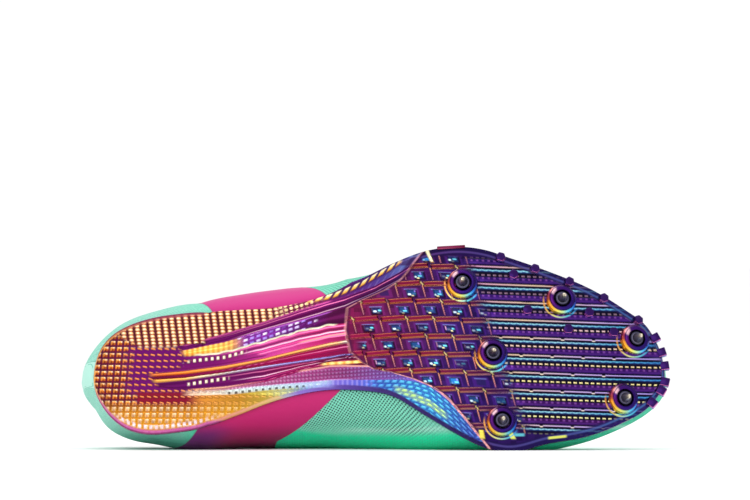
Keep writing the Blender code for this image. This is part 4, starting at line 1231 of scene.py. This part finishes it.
def wall_profile(side, along):
    """The upper's outer face at one place, from its feather edge up to its top edge."""
    rows = WALLS[side]
    wide_x = UPPER_LENGTH * along
    wide = np.array((wide_x, column(rows, "wide", along) * width_at(along),
                     bed_height(wide_x) + column(rows, "wide_up", along) * height_at(along)))
    crown_x = CROWN_BACK + (UPPER_LENGTH - CROWN_FRONT - CROWN_BACK) * along
    crown_rows = (rows,) if along < THROAT_FRONT else WALLS.values()
    crown_side = np.mean([column(each, "crown", along) for each in crown_rows])
    crown = np.array((crown_x, crown_side * width_at(along),
                      bed_height(crown_x) + column(rows, "crown_up", along) * height_at(along)))
    feather = base_point(side, along, FEATHER_INSET)
    low = np.linspace(0, pi / 2, 25)[:, None]
    lower = feather + (wide - feather) * np.sin(low)
    lower[:, 2] = bed_height(lower[:, 0]) + (wide[2] - bed_height(wide_x)) * (1 - np.cos(low[:, 0]))
    closing = radians(column(rows, "closing", along))
    high = np.linspace(0, closing, 49)[1:, None]
    inward = (1 - np.cos(high)) / (1 - cos(closing))
    upward = np.sin(high) / sin(closing)
    higher = wide + (crown - wide) * np.hstack((inward, inward, upward))
    return np.vstack((lower, higher))


def distances(profile):
    steps = np.linalg.norm(np.diff(profile, axis=0), axis=1)
    return np.concatenate(((0.0,), np.cumsum(steps)))


def along_profile(profile, places):
    reach = distances(profile)
    return np.stack([np.interp(places, reach, profile[:, axis]) for axis in range(3)], axis=1)


def smooth_path(points, count):
    """A smooth curve through the points, as evenly spaced places along it."""
    reach = distances(points)
    places = np.linspace(0, reach[-1], count)
    return np.stack([smooth(places, reach, points[:, axis]) for axis in range(3)], axis=1)


def wall_frame(side, along, below):
    """A point of the wall at a distance below its top edge, and the outward direction there."""
    profile = wall_profile(side, along)
    reach = distances(profile)[-1] - below
    point, ahead = along_profile(profile, (reach - 0.5, reach))
    tangent = ahead - point
    sign = 1 if side == "medial" else -1
    outward = np.array((0.0, tangent[2] * sign, -tangent[1] * sign))
    return ahead, outward / np.linalg.norm(outward)


def upper_looks(side, x, along, up, down, height):
    """Colours of cloth and film, and how far inside its borders each film, band and pinhole lies."""
    medial = 1.0 if side == "medial" else 0.0
    # cloth: greyer and paler round the heel; emerald low down where the shoe meets the floor, and darker low
    # at the heel and on the medial toe: painted shade
    cloth = paint(np.tile(linear("#84DCC0"), (len(x), 1)), "#9AD6C4", 1 - step(x, 30, 75))
    border = 11.0 - 4.0 * step(x, 90, 125) + 1.5 * step(x, 150, 190)
    low = (1 - step(height, border - 1.5, border + 1.5)) * medial * step(x, 46, 60)
    cloth = paint(cloth, "#1CE6AC", low)
    cloth = paint(cloth, "#34A88C", (1 - step(height, 2, 12)) * (1 - step(x, 50, 80)) * medial * 0.7)
    cloth = paint(cloth, "#30C49A", step(x, 215, 240) * medial * 0.85)
    # a pale stripe along the top of the emerald band
    cloth = paint(cloth, "#C8F0E4", strip(height - border - 2.4, 0.9, 0.7) * medial * step(x, 120, 135) * 0.5)
    # film over the middle of the foot, painted darker towards the floor as shade
    rear, front = (start + low_slant * np.clip(up, 0, low_end) + high_slant * np.clip(up - high_start, 0, 60)
                   for start, low_slant, low_end, high_start, high_slant in FILM_BORDERS[side])
    film_edge = np.minimum(x - rear, front - x)
    film = graded(height, (0, "#4C0C34"), (3, "#8A1450"), (12, "#B81C66"), (30, "#C4246E"), (58, "#BC1E74"),
                  (72, "#C82A80"))
    film = paint(film, "#5E2470", medial * (1 - step(height, 6, 15)) * (1 - step(x - rear, 8, 26)) * 0.8)
    # bands sewn on: the eyestay and the collar's binding, and the tape up the heel
    band = blend(along, COLLAR_BAND, EYESTAY_WIDTH, HEIGHT_BLEND)
    stay_edge = np.minimum(band - down, (EYESTAY_FRONT - along) * UPPER_LENGTH)
    tape_edge = np.minimum((HEEL_TAPE_END - along) * 1500, up - 3.0)
    band_edge = np.maximum(stay_edge, tape_edge)
    on_film = step(film_edge, -0.2, 0.2)
    open_cloth = (1 - on_film) * (1 - step(band_edge, -0.4, 0.4))
    if side == "medial":
        pin = 1.3 * (1 - step(up, 14, 30)) * step(x, 96, 112) * (1 - step(x, 150, 180))
    else:
        pin = np.exp(-(((x - 150) / 34) ** 2 + ((up - 16) / 16) ** 2))
    zones = np.stack((film_edge, band_edge, np.clip(1.15 * pin, 0, 1) * open_cloth * (1 - low)), axis=1)
    # the bands and the film stand out, and soft creases cross the cloth where the toes bend
    flex = np.exp(-((x - 196) / 26) ** 2) * np.cos(2 * pi * (x + 0.5 * up) / 17.0) * step(up, 12, 30)
    hollow = 0.35 * (1 - flex) * step(up, 12, 30) * np.exp(-((x - 196) / 30) ** 2)
    raised = 0.6 * step(stay_edge, -0.4, 0.4) + 0.12 * step(tape_edge, -3.0, 3.0) + 0.15 * on_film - hollow
    return cloth, film, zones, raised


def upper_half(side, shoe_along):
    """One side of the upper, from its turned-in edge on the plate up to its top edge."""
    lines, reaches, downs = [], [], []
    share = np.linspace(0, 1, UPPER_ROWS)
    for along in shoe_along:
        profile = wall_profile(side, along)
        reach = distances(profile)[-1]
        inturn = base_point(side, along, FEATHER_INSET + INTURN_WIDTH)
        lines.append(np.vstack((inturn, along_profile(profile, share * reach))))
        reaches.append(np.append(-INTURN_WIDTH, share * reach))
        downs.append(np.append(reach, (1 - share) * reach))
    mesh, u, v = unit_grid(f"upper_{side}", UPPER_COLUMNS, UPPER_ROWS)
    at = np.round(u * UPPER_COLUMNS).astype(int), np.round(v * UPPER_ROWS).astype(int)
    points, up, down = (np.array(rows)[at] for rows in (lines, reaches, downs))
    x = points[:, 0]
    laid = lay_down(points)
    move_vertices(mesh, laid * MM)
    cloth, film, zones, raised = upper_looks(side, x, shoe_along[at[0]], up, down, laid[:, 2])
    put_colours(mesh, "tint", cloth)
    put_colours(mesh, "film", film)
    put_values(mesh, "place", np.stack((x, up, down), axis=1))
    put_values(mesh, "zones", zones)
    put_values(mesh, "raised", raised, "FLOAT", "value")
    return mesh


def eyelet_cutter():
    bm = bmesh.new()
    for side in WALLS:
        for along in np.linspace(*EYELET_SPAN, EYELET_ROWS):
            point, outward = wall_frame(side, along, EYELET_INSET)
            turn = Vector(outward).to_track_quat("Z", "Y").to_matrix().to_4x4()
            place = laid_matrix() @ Matrix.Translation(point) @ turn
            bmesh.ops.create_cone(bm, cap_ends=True, segments=28, radius1=EYELET_RADIUS,
                                  radius2=EYELET_RADIUS, depth=6 * WALL, matrix=place)
    made = bpy.data.objects.new("eyelet_cutter", mesh_of(bm, "eyelet_cutter"))
    bpy.context.scene.collection.objects.link(made)
    return made


def build_upper(finish):
    """The upper's shell: its two sides joined, its bands raised, its wall given thickness and eyelets."""
    turns = np.linspace(0, 1, UPPER_COLUMNS + 1)
    shoe_along = 0.55 * along_of(turns) + 0.45 * turns
    shoe_along[np.argmin(np.abs(shoe_along - THROAT_FRONT))] = THROAT_FRONT
    mesh = joined([upper_half(side, shoe_along) for side in WALLS], "upper_shell")
    raised = np.empty(len(mesh.vertices), dtype=np.float32)
    mesh.attributes["raised"].data.foreach_get("value", raised)
    co = vertex_array(mesh) + vertex_normals(mesh) * raised[:, None] * MM
    co[:, 2] = np.maximum(co[:, 2], 0.0)
    move_vertices(mesh, co)
    piece = add_piece("upper_shell", mesh, finish, ("upper",), 50)
    shell = piece.modifiers.new("wall", "SOLIDIFY")
    shell.thickness = WALL * MM
    shell.offset = -1
    holes = piece.modifiers.new("eyelets", "BOOLEAN")
    cutter = eyelet_cutter()
    holes.object = cutter
    holes.solver = "EXACT"
    bpy.context.view_layer.update()
    piece.data = bpy.data.meshes.new_from_object(piece.evaluated_get(bpy.context.evaluated_depsgraph_get()))
    piece.modifiers.clear()
    bpy.data.objects.remove(cutter)
    dress(piece.data, finish, 50)


# Tongue and laces

TONGUE_GAP = 0.9
TONGUE_TUCK = (2.0, 10.0)
TONGUE_LEAD = 0.02
TONGUE_TIP = 26.0
TONGUE_THICKNESS = 0.0024
TONGUE_EDGE = 0.0006
TONGUE_ROWS = 32
CREST_RISE = 0.10
LACE_STEPS = 59
LACE_TUBE = 20
LACE_HALF_WIDTHS = (1.0, 2.2)
LACE_HALF_THICKNESS = 0.65
LACE_ROUNDING = 0.7


def tongue_line(along):
    """The tongue across the foot at one place: tucked under both sides, and crowned between them."""
    tuck = blend(along, *TONGUE_TUCK, (THROAT_BACK, THROAT_FRONT)) * np.linspace(1, 0, 4)
    sides = []
    for side in WALLS:
        frames = [wall_frame(side, along, below) for below in tuck]
        sides.append([point - outward * (WALL + TONGUE_GAP) for point, outward in frames])
    left, right = sides
    opening = np.linalg.norm(left[-1] - right[-1])
    middle = (left[-1] + right[-1]) / 2
    if opening > 4.0:
        points = left + [middle + (0, 0, CREST_RISE * opening)] + right[::-1]
    else:
        points = left[:-1] + [middle] + right[-2::-1]
    return smooth_path(np.array(points), TONGUE_ROWS + 1)


def build_tongue(finish):
    """The padded tongue, from under the front of the throat up to its free, narrowing end."""
    lines = [tongue_line(along) for along in np.linspace(THROAT_FRONT + TONGUE_LEAD, THROAT_BACK, 70)]
    last = lines[-1]
    middle = last.mean(axis=0)
    for rise in np.linspace(0, 1, 21)[1:]:
        shift = np.array((-rise, 0.0, 0.35 * rise + 0.65 * rise ** 2)) * TONGUE_TIP
        narrow = 1 - 0.36 * rise ** 0.5
        rounding = 1 - 0.25 * step(rise, 0.8, 1.0)
        lines.append(middle + (last - middle) * (1, narrow * rounding, narrow) + shift)
    count = len(lines) - 1
    mesh, u, v = unit_grid("tongue_pad", count, TONGUE_ROWS)
    at = np.round(u * count).astype(int), np.round(v * TONGUE_ROWS).astype(int)
    move_vertices(mesh, lay_down(np.array(lines)[at]) * MM)
    up = Vector(TURN @ np.array((0, 0, 1.0)))
    if sum(polygon.normal.dot(up) for polygon in mesh.polygons) < 0:
        mesh.flip_normals()
    piece = add_piece("tongue_pad", mesh, finish, ("tongue",))
    pad = piece.modifiers.new("pad", "SOLIDIFY")
    pad.thickness = TONGUE_THICKNESS
    pad.offset = -1
    edge = piece.modifiers.new("edge", "BEVEL")
    edge.width = TONGUE_EDGE
    edge.segments = 2
    edge.limit_method = "ANGLE"


def lace_path(along):
    """Up out of the lateral eyelet, over the throat and down into the medial one."""
    ends = []
    for side in WALLS:
        frames = [wall_frame(side, along, below)
                  for below in (EYELET_INSET, EYELET_INSET * 0.62, EYELET_INSET / 3, 0.0)]
        eyelet, outward = frames[0]
        hidden = [eyelet - outward * 3.0, eyelet - outward * 0.8, eyelet + outward * 0.9]
        ends.append(hidden + [point + out * lift for (point, out), lift in zip(frames[1:], (1.1, 1.5, 1.8))])
    left, right = ends
    crest = (left[-1] + right[-1]) / 2
    crest[2] += CREST_RISE * np.linalg.norm(left[-1] - right[-1]) + 0.6
    return smooth_path(np.array(left + [crest] + right[::-1]), LACE_STEPS + 1)


def build_laces(finish):
    """Flat woven lace: one crossing between each pair of eyelets, narrower where it goes in."""
    steps = np.arange(LACE_STEPS + 1)
    narrow, wide = LACE_HALF_WIDTHS
    widths = narrow + (wide - narrow) * step(np.minimum(steps, LACE_STEPS - steps), 4, 13)
    lengthwise = np.array((1.0, 0.0, 0.0))
    for number, along in enumerate(np.linspace(*EYELET_SPAN, EYELET_ROWS), start=1):
        path = lay_down(lace_path(along))
        tangents = np.gradient(path, axis=0)
        tangents /= np.linalg.norm(tangents, axis=1)[:, None]
        binormals = lengthwise - tangents * (tangents @ lengthwise)[:, None]
        binormals /= np.linalg.norm(binormals, axis=1)[:, None]
        normals = np.cross(binormals, tangents)
        mesh, u, v = unit_grid("lace", LACE_STEPS, LACE_TUBE)
        i = np.round(u * LACE_STEPS).astype(int)
        across, out = (np.sign(turn) * np.abs(turn) ** LACE_ROUNDING
                       for turn in (np.cos(2 * pi * v), np.sin(2 * pi * v)))
        move_vertices(mesh, (path[i] + binormals[i] * (widths[i] * across)[:, None]
                             + normals[i] * (LACE_HALF_THICKNESS * out)[:, None]) * MM)
        mesh = joined([mesh], f"lace_{number}", 1e-6, cap=True)
        add_piece(f"lace_{number}", mesh, finish, (f"lace_bar_{number}",))


# The stage, the light and the camera

FLOOR_RADIUS = 9.0
WORLD_STRENGTH = 1.04
CAMERA_DISTANCE = 8.0
CAMERA_RISE = 0.5
CAMERA_AIM = -0.03
SENSOR_WIDTH = 36.0
PICTURE = (750, 500)


def build_stage():
    """A pale floor, wide enough to fill every view."""
    bm = bmesh.new()
    bmesh.ops.create_circle(bm, cap_ends=True, segments=96, radius=FLOOR_RADIUS)
    floor = bpy.data.objects.new("floor", mesh_of(bm, "floor"))
    # matt white paper: even and pale, with a faint tooth
    made, tree, shader, place = new_material("matt_white_paper", Roughness=0.9, Specular_IOR_Level=0.1)
    shader.inputs["Base Color"].default_value = rgba("#FDFDFD")
    tooth = add_node(tree, "TexNoise", {"Vector": place, "Scale": 400.0})
    use_bump(tree, shader, tooth.outputs["Fac"], 0.02, 0.0002)
    floor.data.materials.append(made)
    bpy.context.scene.collection.objects.link(floor)


def add_light(name, place, target, size, power):
    data = bpy.data.lights.new(name, "AREA")
    data.shape = "RECTANGLE"
    data.size, data.size_y = size
    data.energy = power
    lamp = bpy.data.objects.new(name, data)
    lamp.location = place
    lamp.rotation_euler = (Vector(target) - Vector(place)).to_track_quat("-Z", "Y").to_euler()
    bpy.context.scene.collection.objects.link(lamp)


def build_light():
    """A bright even world, and two softboxes: one over the shoe and one in front of its sole."""
    scene = bpy.context.scene
    scene.world = bpy.data.worlds.new("studio")
    scene.world.use_nodes = True
    background = scene.world.node_tree.nodes["Background"]
    background.inputs["Color"].default_value = (1, 1, 1, 1)
    background.inputs["Strength"].default_value = WORLD_STRENGTH
    add_light("top_softbox", (-0.2, 0.1, 1.3), (0, -0.03, 0.03), (1.2, 0.9), 4)
    add_light("front_softbox", (-0.3, -1.6, 0.9), (0, 0, 0.04), (1.2, 0.8), 5)
    scene.view_settings.view_transform = "Standard"
    scene.view_settings.look = "None"


def build_camera():
    """A far camera, square to the sole, with the drawing's middle in the middle of the picture."""
    data = bpy.data.cameras.new("camera")
    camera = bpy.data.objects.new("camera", data)
    data.sensor_width = SENSOR_WIDTH
    data.lens = SENSOR_WIDTH * CAMERA_DISTANCE / (PICTURE[0] * SQUARE * MM)
    data.clip_end = 50
    target = Vector(((PICTURE[0] / 2 - SQUARE_ORIGIN[0]) * SQUARE * MM, CAMERA_AIM,
                     (SQUARE_ORIGIN[1] - PICTURE[1] / 2) * SQUARE * MM))
    rise = radians(CAMERA_RISE)
    camera.location = target + Vector((0, -cos(rise), sin(rise))) * CAMERA_DISTANCE
    camera.rotation_euler = (target - camera.location).to_track_quat("-Z", "Y").to_euler()
    bpy.context.scene.collection.objects.link(camera)
    bpy.context.scene.camera = camera


def main():
    build_camera()
    build_light()
    build_stage()
    lacquer = iridescent_plate()
    build_plate(lacquer)
    build_bosses(lacquer)
    build_lugs(lacquer)
    build_edge_rail(lacquer)
    build_pins(spike_steel())
    build_upper(upper_cloth())
    build_tongue(plain_cloth("padded_air_mesh", "#B6E2D4", "#6FB8A2", 0.9))
    build_laces(plain_cloth("woven_polyester_lace", "#E23C8C", "#9A1C58", 0.7, 0.7))
    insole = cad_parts["insole"]
    insole.data.materials.clear()
    insole.data.materials.append(plain_cloth("foam_sockliner_cloth", "#26262C", "#0E0E12", 0.8, 0.9))


main()
